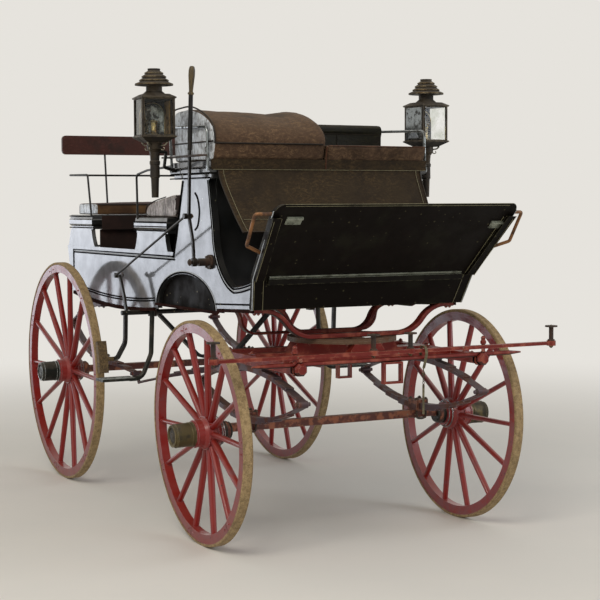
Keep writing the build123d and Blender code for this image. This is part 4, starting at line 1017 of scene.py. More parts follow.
class Repeats:
    """Geometry Nodes trees for what repeats or follows a line, each built once."""

    def __init__(self) -> None:
        """Start with nothing built."""
        self.built: dict[str, Tree] = {}

    def tree(self, name: str, inputs: dict[str, float], fill: Callable) -> Tree:
        """Build a tree on its first use.

        Args:
            name: the tree's name.
            inputs: name and default of each size that it takes, besides the geometry and the finish.
            fill: called with the graph and the tree's inputs, returns the geometry to dress.

        Returns:
            The node tree.
        """
        if name in self.built:
            return self.built[name]
        made = bpy.data.node_groups.new(name, "GeometryNodeTree")
        made.interface.new_socket("Geometry", in_out="INPUT", socket_type="NodeSocketGeometry")
        made.interface.new_socket("Finish", in_out="INPUT", socket_type="NodeSocketMaterial")
        for label, value in inputs.items():
            kind = "NodeSocketInt" if isinstance(value, int) else "NodeSocketFloat"
            socket = made.interface.new_socket(label, in_out="INPUT", socket_type=kind)
            socket.default_value = value
        made.interface.new_socket("Geometry", in_out="OUTPUT", socket_type="NodeSocketGeometry")
        graph = Graph(made)
        given = graph.node("NodeGroupInput").outputs
        shape = fill(graph, given)
        real = graph.node("GeometryNodeRealizeInstances", {"Geometry": shape}).outputs[0]
        dressed = graph.node("GeometryNodeSetMaterial", {"Geometry": real, "Material": given["Finish"]})
        graph.node("NodeGroupOutput", {"Geometry": dressed.outputs[0]})
        self.built[name] = made
        return made

    def studs(self) -> Tree:
        """A washer, a six-sided nut and a bolt's end on every point, turned along its way."""

        def fill(graph: Graph, given: object) -> Socket:
            """Fill the tree."""
            parts = []
            for sides, radius, depth in ((16, 1.3, 0.2), (6, 1.0, 0.85), (10, 0.5, 1.25)):
                turned = graph.node(
                    "GeometryNodeMeshCylinder", {"Vertices": sides, "Radius": radius, "Depth": depth}
                ).outputs[0]
                raised = {"Geometry": turned, "Translation": (0.0, 0.0, depth / 2)}
                parts.append(graph.node("GeometryNodeTransform", raised).outputs[0])
            joined = graph.node("GeometryNodeJoinGeometry")
            for part in parts:
                graph.tree.links.new(part, joined.inputs[0])
            way = graph.node("GeometryNodeInputNamedAttribute", {"Name": "way"}, data_type="FLOAT_VECTOR")
            size = graph.node("GeometryNodeInputNamedAttribute", {"Name": "size"}, data_type="FLOAT")
            turn = graph.node("FunctionNodeAlignRotationToVector", {"Vector": way.outputs[0]}, axis="Z")
            spread = {
                "Points": given["Geometry"],
                "Instance": joined.outputs[0],
                "Rotation": turn.outputs[0],
                "Scale": graph.times(size.outputs[0], given["Scale"]),
            }
            return graph.node("GeometryNodeInstanceOnPoints", spread).outputs[0]

        return self.tree("studs", {"Scale": 0.001}, fill)

    def beads(self) -> Tree:
        """A round bead along every line."""

        def fill(graph: Graph, given: object) -> Socket:
            """Fill the tree."""
            line = graph.node("GeometryNodeMeshToCurve", {"Mesh": given["Geometry"]}).outputs[0]
            ring = graph.circle(given["Sides"], given["Radius"])
            swept = {"Curve": line, "Profile Curve": ring, "Fill Caps": True}
            return graph.node("GeometryNodeCurveToMesh", swept).outputs[0]

        return self.tree("beads", {"Radius": 0.002, "Sides": 8}, fill)

    def links(self) -> Tree:
        """Chain links along every line, each a quarter turn from the last."""

        def fill(graph: Graph, given: object) -> Socket:
            """Fill the tree."""
            line = graph.node("GeometryNodeMeshToCurve", {"Mesh": given["Geometry"]}).outputs[0]
            spots = graph.node(
                "GeometryNodeCurveToPoints", {"Curve": line, "Length": given["Pitch"]}, mode="LENGTH"
            )
            ring = graph.circle(14, given["Link"])
            narrow = {"Geometry": ring, "Scale": (0.62, 1.0, 1.0)}
            long = graph.node("GeometryNodeTransform", narrow).outputs[0]
            wire = graph.circle(6, given["Wire"])
            link = graph.node("GeometryNodeCurveToMesh", {"Curve": long, "Profile Curve": wire}).outputs[0]
            upright = {"Geometry": link, "Rotation": (math.pi / 2, 0.0, 0.0)}
            stood = graph.node("GeometryNodeTransform", upright).outputs[0]
            index = graph.node("GeometryNodeInputIndex").outputs[0]
            quarter = graph.times(index, math.pi / 2)
            spin = graph.node("ShaderNodeCombineXYZ", {"Z": quarter}).outputs[0]
            turn = graph.node(
                "FunctionNodeRotateRotation",
                {"Rotation": spots.outputs["Rotation"], "Rotate By": spin},
                rotation_space="LOCAL",
            )
            spread = {"Points": spots.outputs[0], "Instance": stood, "Rotation": turn.outputs[0]}
            return graph.node("GeometryNodeInstanceOnPoints", spread).outputs[0]

        return self.tree("links", {"Pitch": 0.02, "Link": 0.014, "Wire": 0.0028}, fill)

    def grow(
        self,
        name: str,
        seed: bpy.types.Mesh,
        tree: Tree,
        finish: Finish,
        body: str,
        slot: str,
        **values: object,
    ) -> Piece:
        """Run a tree on a seed mesh and keep the result as a plain piece.

        Args:
            name: the piece's name.
            seed: points or lines that the tree grows from.
            tree: one of this class's trees.
            finish: what the result is made of.
            body: the moving body that carries it.
            slot: not used.
            values: the tree's own inputs by name.

        Returns:
            The new piece.
        """
        raw = bpy.data.objects.new(f"{name}_seed", seed)
        bpy.context.collection.objects.link(raw)
        modifier = raw.modifiers.new("repeats", "NODES")
        modifier.node_group = tree
        given = {"Finish": finish.material(), **values}
        for item in tree.interface.items_tree:
            if item.in_out == "INPUT" and item.name in given:
                modifier[item.identifier] = given[item.name]
        held = raw.evaluated_get(bpy.context.evaluated_depsgraph_get())
        data = bpy.data.meshes.new_from_object(held)
        bpy.data.objects.remove(raw)
        data.name = name
        return settle(bpy.data.objects.new(name, data), finish, body)

    def bolts(
        self, name: str, spots: Sequence[tuple[Vector, Vector, float]], finish: Finish, body: str, slot: str
    ) -> Piece:
        """Nuts and bolt ends at places, each with its own way and size in millimetres."""
        seed = bpy.data.meshes.new(f"{name}_points")
        seed.from_pydata([place for place, _, _ in spots], [], [])
        way = seed.attributes.new("way", "FLOAT_VECTOR", "POINT")
        way.data.foreach_set("vector", [value for _, turn, _ in spots for value in turn])
        size = seed.attributes.new("size", "FLOAT", "POINT")
        size.data.foreach_set("value", [value for _, _, value in spots])
        return self.grow(name, seed, self.studs(), finish, body, slot)

    def lines(
        self,
        name: str,
        runs: Sequence[Sequence[Vector]],
        radius: float,
        finish: Finish,
        body: str,
        slot: str,
        sides: int = 8,
    ) -> Piece:
        """Round beads along runs of points, radius in millimetres."""
        seed = bpy.data.meshes.new(f"{name}_lines")
        places: list[Vector] = []
        edges: list[tuple[int, int]] = []
        for run in runs:
            start = len(places)
            places.extend(run)
            edges.extend((start + i, start + i + 1) for i in range(len(run) - 1))
        seed.from_pydata(places, edges, [])
        return self.grow(name, seed, self.beads(), finish, body, slot, Radius=radius / 1000, Sides=sides)


REPEATS = Repeats()


class Pillow(Form):
    """A stuffed form: one closed outline in X and Z carried across in Y, its ends rounded off."""

    divisions = 112  # points round the outline
    stations = 61  # outlines from end to end
    end_gap = 0.995  # how near the last outlines come to the ends
    fold_scale = 0.011  # of the noise for broad folds
    pucker_scale = 0.03  # of the noise for small puckers

    def fill(
        self,
        outline: Sequence[tuple[float, float]],
        low_y: float,
        high_y: float,
        crown: float = 0.0,
        ends: float = 14.0,
        passes: int = 3,
        sag: Callable[[float, float], float] | None = None,
        wrinkle: float = 0.0,
    ) -> None:
        """Skin the pillow.

        Args:
            outline: corners in X and Z, in millimetres, upper faces included.
            low_y: one end in millimetres.
            high_y: the other end.
            crown: how far the middle of the top stands up, in millimetres.
            ends: squareness of the ends, higher is squarer.
            passes: how often the outline's corners are eased.
            sag: called with Y and Z, gives the Z that the point has there.
            wrinkle: depth of the soft folds in millimetres.
        """
        around = self.divided(outline, self.divisions)
        for _ in range(passes):
            after = [*around[1:], around[0]]
            before = [around[-1], *around[:-1]]
            around = [(a + point * 2 + b) / 4 for a, point, b in zip(before, around, after)]
        centre = sum(around, Vector((0, 0))) / len(around)
        top = max(point.y for point in around)
        low_x, high_x = min(p.x for p in around), max(p.x for p in around)
        middle, half = (low_y + high_y) / 2, (high_y - low_y) / 2
        rings = []
        for k in range(self.stations):
            t = math.sin(math.pi / 2 * self.end_gap * (2 * k / (self.stations - 1) - 1))
            reach = (1 - abs(t) ** ends) ** (1 / ends)
            ring = []
            for point in around:
                flat = centre + (point - centre) * reach
                up = max(0.0, (flat.y - centre.y) / (top - centre.y))
                across = 2 * (flat.x - low_x) / (high_x - low_x) - 1
                z = flat.y + crown * up * (1 - t * t) * max(0.0, 1 - across**2)
                y = middle + half * t
                if sag:
                    z = sag(y, z)
                place = Vector((flat.x, y, z))
                fold = noise.noise(place * self.fold_scale)
                fold += 0.5 * noise.noise(place * self.pucker_scale)
                outward = (place - Vector((centre.x, y, centre.y))).normalized()
                ring.append((place + outward * fold * wrinkle) / 1000)
            rings.append(ring)
        self.rings(rings)

    @staticmethod
    def divided(outline: Sequence[tuple[float, float]], count: int) -> list[Vector]:
        """Points evenly along a closed outline."""
        corners = [Vector(corner) for corner in outline]
        closed = [*corners, corners[0]]
        lengths = [(b - a).length for a, b in zip(closed, closed[1:])]
        total = sum(lengths)
        found = []
        for k in range(count):
            left = total * k / count
            for start, end, length in zip(closed, closed[1:], lengths):
                if left <= length:
                    found.append(start.lerp(end, left / length))
                    break
                left -= length
        return found


def turned_faces(made: Piece, finish: Finish, chosen: Callable[[Vector, Vector], bool]) -> None:
    """Give a second finish to the faces that a rule picks by their normal and middle."""
    made.data.materials.append(finish.material())
    for face in made.data.polygons:
        if chosen(face.normal, face.center):
            face.material_index = len(made.data.materials) - 1


def arc_points(start: Row, middle: Row, end: Row, count: int = 24) -> list[Vector]:
    """Points along the arc through three places, in millimetres, in whatever plane they lie."""
    a, b, c = Vector(start), Vector(middle), Vector(end)
    first, second = b - a, c - a
    normal = first.cross(second)
    offset = normal.cross(first) * second.length_squared + second.cross(normal) * first.length_squared
    centre = a + offset / (2 * normal.length_squared)
    axis = normal.normalized()
    span = (a - centre).angle(c - centre)
    if (a - centre).cross(c - centre).dot(axis) < 0:
        span = 2 * math.pi - span
    return [centre + Matrix.Rotation(span * k / count, 3, axis) @ (a - centre) for k in range(count + 1)]


@dataclass
class BoxSeatLeather:
    """The driver's wedge cushion with its roll, the passenger's seat and back, and the apron."""

    end: float = 594.0
    parting: float = 17.0
    seam: float = 1894.0
    roll: tuple = (
        (392, 1813), (862, 1813), (880, 1866), (890, 1894), (893, 1912), (886, 1950), (862, 1988),
        (822, 2016), (764, 2042), (700, 2062), (630, 2078), (560, 2084), (490, 2082), (430, 2079),
        (396, 2074), (387, 2060), (385, 2024),
    )
    shoulder: tuple = (
        (-600.0, 0.94), (-500.0, 0.915), (-290.0, 0.885), (-170.0, 0.86), (-110.0, 0.895),
        (-55.0, 0.94), (-20.0, 0.93), (0.0, 0.86), (10.0, 0.76), (17.0, 0.66),
    )
    # the apron hangs free below this height, and fully so this much lower
    free_below: float = 1750.0
    free_over: float = 200.0
    apron_fall: tuple = (
        (872.5, 1820, 598), (869.5, 1797, 598), (868.0, 1772, 598), (867.8, 1768, 562),
        (868.6, 1752, 562), (893, 1706, 560), (936, 1645, 554), (982, 1580, 545), (1024, 1522, 536),
        (1068, 1470, 526),
    )

    def shoulder_height(self, y: float, z: float) -> float:
        """Where the roll drops away to the passenger's seat."""
        if z <= self.seam:
            return z
        for (first_y, first), (second_y, second) in zip(self.shoulder, self.shoulder[1:]):
            if y <= second_y:
                part = (y - first_y) / (second_y - first_y)
                return self.seam + (z - self.seam) * (first + (second - first) * part)
        return self.seam

    def driver(self) -> None:
        """The driver's cushion, its outer end painted pale as a reflection, with piping round that end."""
        form = Pillow()
        form.fill(
            self.roll, -self.end, self.parting,
            ends=22.0, passes=2, sag=self.shoulder_height, wrinkle=2.2,
        )
        made = form.piece(
            "driver_wedge_cushion", SEAT_LEATHER, "coach_body", "seat_leather", ("driver_cushion",), 60
        )
        # the outer end's faces take a pale hide colour, a painted reflection
        turned_faces(made, PAINTED_REFLECTION_HIDE, lambda normal, place: normal.y < -0.6)
        edge = [millimetres(x, -self.end + 5, z) for x, z in self.roll[3:]]
        front = [millimetres(892, y, self.seam + 1) for y in range(-588, 12, 20)]
        strap = [millimetres(x, -self.end - 1.5, 1904) for x in (400, 560, 720, 884)]
        piping = (PIPING, "coach_body", "seat_leather")
        REPEATS.lines("driver_cushion_piping", (smoothed(edge), front), 4.2, *piping)
        REPEATS.lines("driver_cushion_strap", (strap,), 4.0, *piping, 6)
        turns = [math.pi * k / 10 for k in range(21)]
        ring = [millimetres(800 + 11 * math.cos(a), -self.end - 2, 1868 + 11 * math.sin(a)) for a in turns]
        REPEATS.lines("cushion_ring", (ring,), 1.8, STEP_IRON, "coach_body", "step_iron")

    def passenger(self) -> None:
        """The passenger's lower cushion and the black back behind it."""
        form = Pillow()
        outline = (
            (452, 1813), (862, 1813), (882, 1868), (889, 1884), (880, 1892), (640, 1895), (452, 1893),
        )
        form.fill(outline, self.parting + 2, self.end, crown=6, ends=26.0, passes=1, wrinkle=1.2)
        made = form.piece(
            "passenger_seat", SEAT_LEATHER, "coach_body", "seat_leather", ("passenger_cushion",), 60
        )
        back = Pillow()
        profile = (
            (402, 1814), (430, 1814), (432, 1955), (433, 1972), (440, 1984), (441, 2004),
            (430, 2019), (414, 2020), (401, 2006), (400, 1980),
        )
        back.fill(profile, self.parting + 8, 588, ends=30.0, passes=1, wrinkle=0.8)
        made = back.piece(
            "passenger_padded_back", BACK_LEATHER, "coach_body", "seat_leather", ("passenger_back",), 60
        )
        edge = [millimetres(889, y, 1889) for y in range(22, 592, 20)]
        down = ((889, 1886), (880, 1860), (871.5, 1815), (869.5, 1775))
        parting = [millimetres(x, self.parting + 1, z) for x, z in down]
        runs = (edge, parting)
        REPEATS.lines("passenger_seat_piping", runs, 2.6, RED_PIPING, "coach_body", "seat_leather")
        tuft = [millimetres(434.5, 318, z) for z in (1905, 1935, 1967)]
        roll = [millimetres(434.5, y, 1971) for y in range(30, 586, 30)]
        REPEATS.lines("passenger_back_seams", (tuft, roll), 1.6, PIPING, "coach_body", "seat_leather")

    def apron(self) -> None:
        """The leather band over the seat board's edge and the apron below it, with corded sides."""
        rows = []
        columns = 48
        for x, z, half in self.apron_fall:
            row = []
            for k in range(columns + 1):
                side = 2 * k / columns - 1
                y = half * side
                free = min(1.0, max(0.0, (self.free_below - z) / self.free_over))
                wave = 4.0 * noise.noise(Vector((y * 0.006, z * 0.004, 3.0)))
                wave += 2.0 * math.sin(y * 0.021) * side
                row.append(millimetres(x + free * wave, y, z))
            rows.append(row)
        form = Form()
        form.sheet(rows, 0.003)
        made = form.piece("box_apron", APRON_LEATHER, "coach_body", "seat_leather", ("seat_apron",), 70)
        left = [row[0] + Vector((0.002, 0.0, 0.0)) for row in rows[3:]]
        right = [row[-1] + Vector((0.002, 0.0, 0.0)) for row in rows[3:]]
        foot = [point + Vector((0.003, 0.0, 0.004)) for point in rows[-1]]
        cords = REPEATS.lines("apron_cord", (left, right, foot), 3.2, PIPING, "coach_body", "seat_leather")
        stitched = []
        for sign in (-1, 1):
            edge = [(x + 3.5, sign * (half - 26), z) for x, z, half in self.apron_fall[3:]]
            stitched.append([millimetres(*place) for place in edge])
        stitched.append([millimetres(1021.5, y, 1532) for y in range(-500, 501, 25)])
        stitched.append([millimetres(871, y, 1770) for y in range(-590, 591, 20)])
        seams = REPEATS.lines("apron_seams", stitched, 1.2, SEAM_OLIVE, "coach_body", "seat_leather", 6)

    def build(self) -> None:
        """Make all of the box seat's leather."""
        self.driver()
        self.passenger()
        self.apron()


@dataclass
class PassengerSeats:
    """The two passenger cushions and the cloth falls under their fronts."""

    half: float = 516.0

    def rear(self) -> None:
        """The rear cushion: gold cloth in front, dark red on top, its ends painted pale as a reflection."""
        form = Pillow()
        outline = (
            (-1328, 1548), (-990, 1548), (-986, 1590), (-994, 1608), (-1020, 1614), (-1312, 1614),
            (-1328, 1602),
        )
        form.fill(outline, -self.half, self.half, crown=9, ends=24.0, passes=2, wrinkle=1.6)
        made = form.piece(
            "rear_cushion", DARK_RED_CLOTH, "coach_body", "gold_cloth", ("rear_seat_cushion",), 60
        )
        turned_faces(made, GOLD_CLOTH, lambda normal, place: normal.x > 0.5 and place.z < 1.606)
        # both ends take the pale hide colour, a painted reflection
        turned_faces(made, PAINTED_REFLECTION_HIDE, lambda normal, place: abs(normal.y) > 0.6)
        front = [millimetres(-985, y, 1606) for y in range(-512, 513, 16)]
        REPEATS.lines("rear_cushion_piping", (front,), 3.0, DARK_PIPING, "coach_body", "gold_cloth")

    def middle(self) -> None:
        """The middle cushion: a worn woven wedge that rises to the front, its ends piped."""
        form = Pillow()
        outline = (
            (-222, 1538), (200, 1538), (262, 1562), (284, 1600), (284, 1640), (262, 1652),
            (180, 1655), (60, 1640), (-80, 1622), (-170, 1604), (-212, 1580),
        )
        form.fill(outline, -self.half, self.half, crown=8, ends=24.0, passes=2, wrinkle=2.4)
        made = form.piece(
            "middle_cushion", STROKED_GREY, "coach_body", "woven_cloth", ("middle_seat_cushion",), 60
        )
        turned_faces(made, DARK_CLOTH, lambda normal, place: place.x > 0.226)
        runs = []
        for side in (-1, 1):
            y = side * (self.half - 3)
            rear = ((-150, 1541), (-205, 1560), (-200, 1588), (-160, 1606), (-60, 1626), (80, 1644))
            runs.append(smoothed([millimetres(x, y, z) for x, z in rear]))
            front = ((226, 1545), (232, 1600), (228, 1652))
            runs.append(smoothed([millimetres(x, y, z) for x, z in front]))
        REPEATS.lines("middle_cushion_piping", runs, 3.2, DARK_PIPING, "coach_body", "woven_cloth")

    def fall(self, name: str, edge: float, x: float, high: float, replaces: tuple[str, ...]) -> None:
        """One cloth fall with soft upright folds, over the bench's edge and down to the floor."""
        low, half, columns, steps = 1076.0, 503.0, 80, 10
        drops = [(x, high + (low - high) * k / steps, k / steps) for k in range(steps + 1)]
        rows = []
        for place, z, free in ((edge, high + 82, 0.0), (edge, high + 4, 0.0), *drops):
            row = []
            for k in range(columns + 1):
                y = -half + 2 * half * k / columns
                fold = 1.6 * math.sin(y * 0.05 + 0.4 * math.sin(y * 0.013)) * free
                row.append(millimetres(place + fold, y, z))
            rows.append(row)
        form = Form()
        form.sheet(rows, 0.002)
        made = form.piece(name, DARK_CLOTH, "coach_body", "woven_cloth", replaces, 70)

    def build(self) -> None:
        """Make the passengers' soft goods."""
        self.rear()
        self.middle()
        self.fall("rear_seat_fall", -942.0, -980.0, 1459.0, ("seat_falls",))
        self.fall("middle_seat_fall", -293.0, -264.0, 1449.0, ())


@dataclass
class BodyTrim:
    """Beads along the body sides, dark steps at the benches' ends and the sill strips."""

    face: float = 548.6
    # the pale beads are painted highlights beside the dark ones
    beads: tuple = (("stout", BEAD_BLACK, 5.6), ("dark", BEAD_BLACK, 4.4), ("pale", PAINTED_HIGHLIGHT_BEAD, 2.6))
    arch: tuple = (410.0, 1078.0, 378.0, 175.0)
    front_sill: tuple = ((14, 1079.5), (806, 1081), (836, 1092), (1218, 1110))
    grooves: tuple = (
        (-288, 183, 554.5, (1512, 1488, 1466)),
        (-1372, -947, 554.5, (1538, 1470)),
        (368, 858, 604.5, (1778, 1752, 1732)),
    )

    def arch_run(self, spare: float) -> list[tuple[float, float]]:
        """The recess's edge, a little outside it."""
        x, z, half, rise = self.arch
        angles = [math.pi * k / 48 for k in range(49)]
        return [(x - (half + spare) * math.cos(a), z + (rise + spare) * math.sin(a)) for a in angles]

    def scoop_run(self, inset: float) -> list[tuple[float, float]]:
        """The leg opening's edge, moved into the panel."""
        corners = [
            *arc_points((1286.6, 0, 1268), (1130, 0, 1226), (1005, 0, 1210), 10)[:-1],
            *arc_points((1005, 0, 1210), (850, 0, 1305), (785, 0, 1480), 20),
            Vector((735, 0, 1726)),
        ]
        moved = []
        for i, point in enumerate(corners):
            ahead = corners[min(i + 1, len(corners) - 1)] - corners[max(i - 1, 0)]
            inward = Vector((ahead.z, 0, -ahead.x)).normalized()
            moved.append(point - inward * inset)
        return [(p.x, p.z) for p in moved]

    def sill_run(self, lift: float) -> list[tuple[float, float]]:
        """The rear sill's arc, lifted, as far as the recess."""
        arc = arc_points((-1352, 0, 1086), (-690, 0, 1037), (32, 0, 1058), 40)
        return [(p.x, p.z + lift) for p in arc if -1330 < p.x < 20]

    def runs(self) -> dict[str, list[list[tuple[float, float]]]]:
        """Every bead by its kind: the stout one up the pillar, dark ones, and pale lines beside them that
        paint the beads' highlights.
        """
        return {
            "stout": [[(262, 1331), (280, 1380), (302, 1432), (398, 1722)]],
            "dark": [
                [(-1326, 1110), (-1326, 1337), (266, 1337)],
                [(-1312, 1321), (276, 1321)],
                self.sill_run(54),
                self.sill_run(41),
                [(796, 1122), (1205, 1141)],
                self.arch_run(6),
                self.scoop_run(6),
                self.scoop_run(24),
                smoothed_flat([(552, 1661), (585, 1630), (604, 1567), (584, 1502), (548, 1477)]),
            ],
            # pale lines: painted highlights beside the dark beads
            "pale": [self.arch_run(13), self.scoop_run(15), [(-1318, 1329), (272, 1329)]],
        }

    def build(self) -> None:
        """Lay the beads on both sides."""
        for kind, finish, radius in self.beads:
            runs = []
            for side in Side:
                for run in self.runs()[kind]:
                    runs.append([millimetres(x, side.value * self.face, z) for x, z in run])
            REPEATS.lines(f"body_beads_{kind}", runs, radius, finish, "coach_body", "black_coach_paint")
        self.end_grooves()
        self.sill()

    def end_grooves(self) -> None:
        """Dark steps across the ends of the benches and of the seat board."""
        runs = []
        for side in Side:
            for low_x, high_x, face, levels in self.grooves:
                runs += [
                    [millimetres(low_x, side.value * face, z), millimetres(high_x, side.value * face, z)]
                    for z in levels
                ]
        REPEATS.lines("end_grooves", runs, 3.2, BEAD_BLACK, "coach_body", "black_coach_paint")

    def sill(self) -> None:
        """The dark sill strip under both sides, red below, carried on over the recess to the front."""
        form = Form()
        for side in Side:
            path = [millimetres(x, side.value * 552, z - 58) for x, z in self.sill_run(54)]
            form.strap(smoothed(path, 0.05), Vector((0, 1, 0)), 0.012, 0.018)
            front = [millimetres(x, side.value * 550, z) for x, z in self.front_sill]
            form.strap(smoothed(front, 0.05), Vector((0, 1, 0)), 0.012, 0.013)
        form.piece("sill_strips", SILL_RED, "coach_body", "black_coach_paint")


@dataclass
class FootboardTrim:
    """Small metal plates, ledge lines, the moulding at the kink and the pale line along the top."""

    kink: Row = (1311.0, 1262.0)
    top: Row = (1648.0, 1603.0)
    foot: Row = (1246.0, 1118.0)
    kink_half: float = 592.0
    spread: float = 48.0
    board_length: float = 479.4

    def on_board(self, y: float, up: float, lift: float) -> Vector:
        """A place on the upper board: across, up the board from its kink, and lifted off it."""
        run, rise = self.top[0] - self.kink[0], self.top[1] - self.kink[1]
        length = math.hypot(run, rise)
        x = self.kink[0] + (run * up + rise * lift) / length
        z = self.kink[1] + (rise * up - run * lift) / length
        return millimetres(x, y, z)

    def plate(self, form: Form, middle: float, low: float, high: float, wide: float) -> None:
        """One plate with a rolled upper lip."""
        rows = []
        for y in (middle - wide / 2, middle - wide / 2 + 4, middle + wide / 2 - 4, middle + wide / 2):
            edge = 3.0 if abs(y - middle) > wide / 2 - 3 else 6.0
            lower = ((low, 0.5), (low + 2, edge), (high - 12, edge))
            lip = ((high - 8, edge + 7), (high, edge + 7), (high + 2, 0.5))
            rows.append([self.on_board(y, up, lift) for up, lift in (*lower, *lip)])
        form.rings(rows)

    def edge(self, up: float, inset: float) -> float:
        """Half the board's width at a height up it, less an inset."""
        return self.kink_half + self.spread * up / self.board_length - inset

    def build(self) -> None:
        """Fit everything to the board's front."""
        plates = Form()
        self.plate(plates, -520, 357, 400, 78)
        self.plate(plates, 566, 318, 361, 78)
        plates.piece("board_plates", PLATE_GREEN, "coach_body", "black_enamel")
        lines = []
        for side in Side:
            ups = range(6, 392, 16)
            lines.append([self.on_board(side.value * self.edge(up, 50), up, 1.0) for up in ups])
            lines.append([self.on_board(side.value * self.edge(up, 6), up, 19.0) for up in ups])
            for inset in (52, 6):
                low = millimetres(self.foot[0] + 1.5, side.value * (568 - inset), self.foot[1] - 1)
                lines.append([low, self.on_board(side.value * self.edge(0, inset), 0, 1.5)])
        lines.append([self.on_board(y, 478, 0.5) for y in range(-592, 593, 16)])
        lines.append([self.on_board(y, 466, 0.8) for y in range(-588, 589, 16)])
        REPEATS.lines("board_pale_lines", lines, 1.3, SEAM_OLIVE, "coach_body", "black_enamel", 6)
        # pale lines along the board's side edges paint the highlight on them
        edges = []
        for side in Side:
            upper = [self.on_board(side.value * self.edge(up, -0.6), up, -2.0) for up in range(0, 440, 18)]
            low = millimetres(self.foot[0], side.value * 568.6, self.foot[1])
            edges.append([low, *upper])
        REPEATS.lines("board_painted_highlight_edges", edges, 2.6, PAINTED_HIGHLIGHT_BEAD, "coach_body", "black_enamel")
        moulding = Form()
        for up, lift, width in ((4, 5.0, 9.0), (18, 3.0, 6.0)):
            ends = [self.on_board(y, up, lift) for y in (-516, -500, 500, 516)]
            moulding.strap(ends, Vector((0.703, 0, 0.711)), width / 1000, 0.005)
        moulding.piece("kink_moulding", PLATE_GREEN, "coach_body", "black_enamel")


@dataclass(frozen=True)
class Wheel:
    """One wheel: its body's name, middle, lean and size, in millimetres and degrees."""

    name: str
    side: Side
    x: float
    radius: float
    camber: float
    half_track: float = 705.5

    @property
    def axis(self) -> Vector:
        """The direction of the arm, pointing out."""
        lean = math.radians(self.camber)
        return Vector((0, self.side.value * math.cos(lean), -math.sin(lean)))

    @property
    def centre(self) -> Vector:
        """The middle of the rim."""
        lean = math.radians(self.camber)
        y = self.side.value * (self.half_track + self.radius * math.sin(lean))
        return millimetres(self.x, y, self.radius * math.cos(lean))

    def at(self, radius: float, angle: float, out: float) -> Vector:
        """A place on the wheel by its distance from the arm, its angle and how far out."""
        ahead = Vector((1, 0, 0))
        over = self.axis.cross(ahead)
        reach = (ahead * math.cos(angle) + over * math.sin(angle)) * radius
        return self.centre + (reach + self.axis * out) / 1000


# each axle's place along the coach, its wheels' radius in millimetres and their lean in degrees
AXLES = {"rear": (-1040.0, 635.0, 0.66), "front": (995.0, 532.0, 1.66)}


@dataclass
class WheelDress:
    """What stands on a wheel: nave ridges, felloe joints, bolts and the cap's face."""

    wheel: Wheel
    felloes: int = 7
    nave_ridges: tuple = ((77.5, -60, 2.6), (77.5, -16, 2.6), (64.0, 34, 2.4))
    nave_bands: tuple = ((61.0, -98), (70.0, -84))
    cap_rings: tuple = ((54.5, 131), (48.0, 145.5), (56.5, 60), (57.0, 46))
    collar_rows: tuple = (
        (0, -101.5), (40, -101.5), (47, -104), (47, -120), (41, -124), (41, -146), (36, -150),
        (0, -150),
    )

    def circle(self, radius: float, out: float, count: int = 64) -> list[Vector]:
        """A closed line round the arm."""
        return [self.wheel.at(radius, 2 * math.pi * k / count, out) for k in range(count + 1)]

    def build(self) -> None:
        """Make the wheel's small things."""
        wheel = self.wheel
        body = f"{wheel.name}_wheel"
        for radius, out, thick in self.nave_ridges:
            label = f"{wheel.name}_nave_ridge_{out + 100:.0f}"
            ridge = (self.circle(radius, out),)
            REPEATS.lines(label, ridge, thick, WHEEL_RED, body, "red_wheel_paint")
        bands = [self.circle(radius, out) for radius, out in self.nave_bands]
        REPEATS.lines(f"{wheel.name}_nave_bands", bands, 2.6, SILVERED, body, "black_enamel")
        self.joints(body)
        self.cap(body)
        if wheel.name.startswith("front"):
            self.collar()

    def collar(self) -> None:
        """The dark oil collar on the axle, just inside the nave."""
        form = Form()
        form.turned(self.wheel.at(0, 0, 0), self.wheel.axis, self.collar_rows, 36)
        form.piece(f"{self.wheel.name}_axle_collar", STEP_IRON, "fore_carriage", "black_enamel")

    def joints(self, body: str) -> None:
        """Dark joints where two felloes meet, with a bolt on each side of them."""
        wheel = self.wheel
        outer = wheel.radius - 14
        form = Form()
        bolts = []
        for k in range(self.felloes):
            angle = 2 * math.pi * k / self.felloes
            ends = [wheel.at(outer - 43, angle, 21.2), wheel.at(outer - 2, angle, 21.2)]
            form.strap(ends, wheel.axis, 0.0012, 0.0016)
            for shift in (-0.055, 0.055):
                bolts.append((wheel.at(outer - 24, angle + shift, 21), wheel.axis, 4.2))
        form.piece(f"{wheel.name}_felloe_joints", JOINT_DARK, body, "red_wheel_paint")
        REPEATS.bolts(f"{wheel.name}_felloe_bolts", bolts, WHEEL_RED, body, "red_wheel_paint")

    def cap(self, body: str) -> None:
        """The cap's turned face and its nut."""
        wheel = self.wheel
        front = wheel.name.startswith("front")
        ring = CAP_BRASS if front else SILVERED
        lines = [self.circle(radius, out) for radius, out in self.cap_rings]
        REPEATS.lines(f"{wheel.name}_cap_rings", lines, 2.2, ring, body, "brass")
        form = Form()
        hub = wheel.at(0, 0, 0)
        form.turned(hub, wheel.axis, ((0, 139), (30, 139), (32, 141), (30, 143), (22, 144), (0, 144)), 40)
        form.turned(hub, wheel.axis, ((0, 143), (15, 143), (15, 145.6), (0, 145.6)), 6)
        form.piece(f"{wheel.name}_cap_face", BRASS_DARK if front else STEP_IRON, body, "brass")


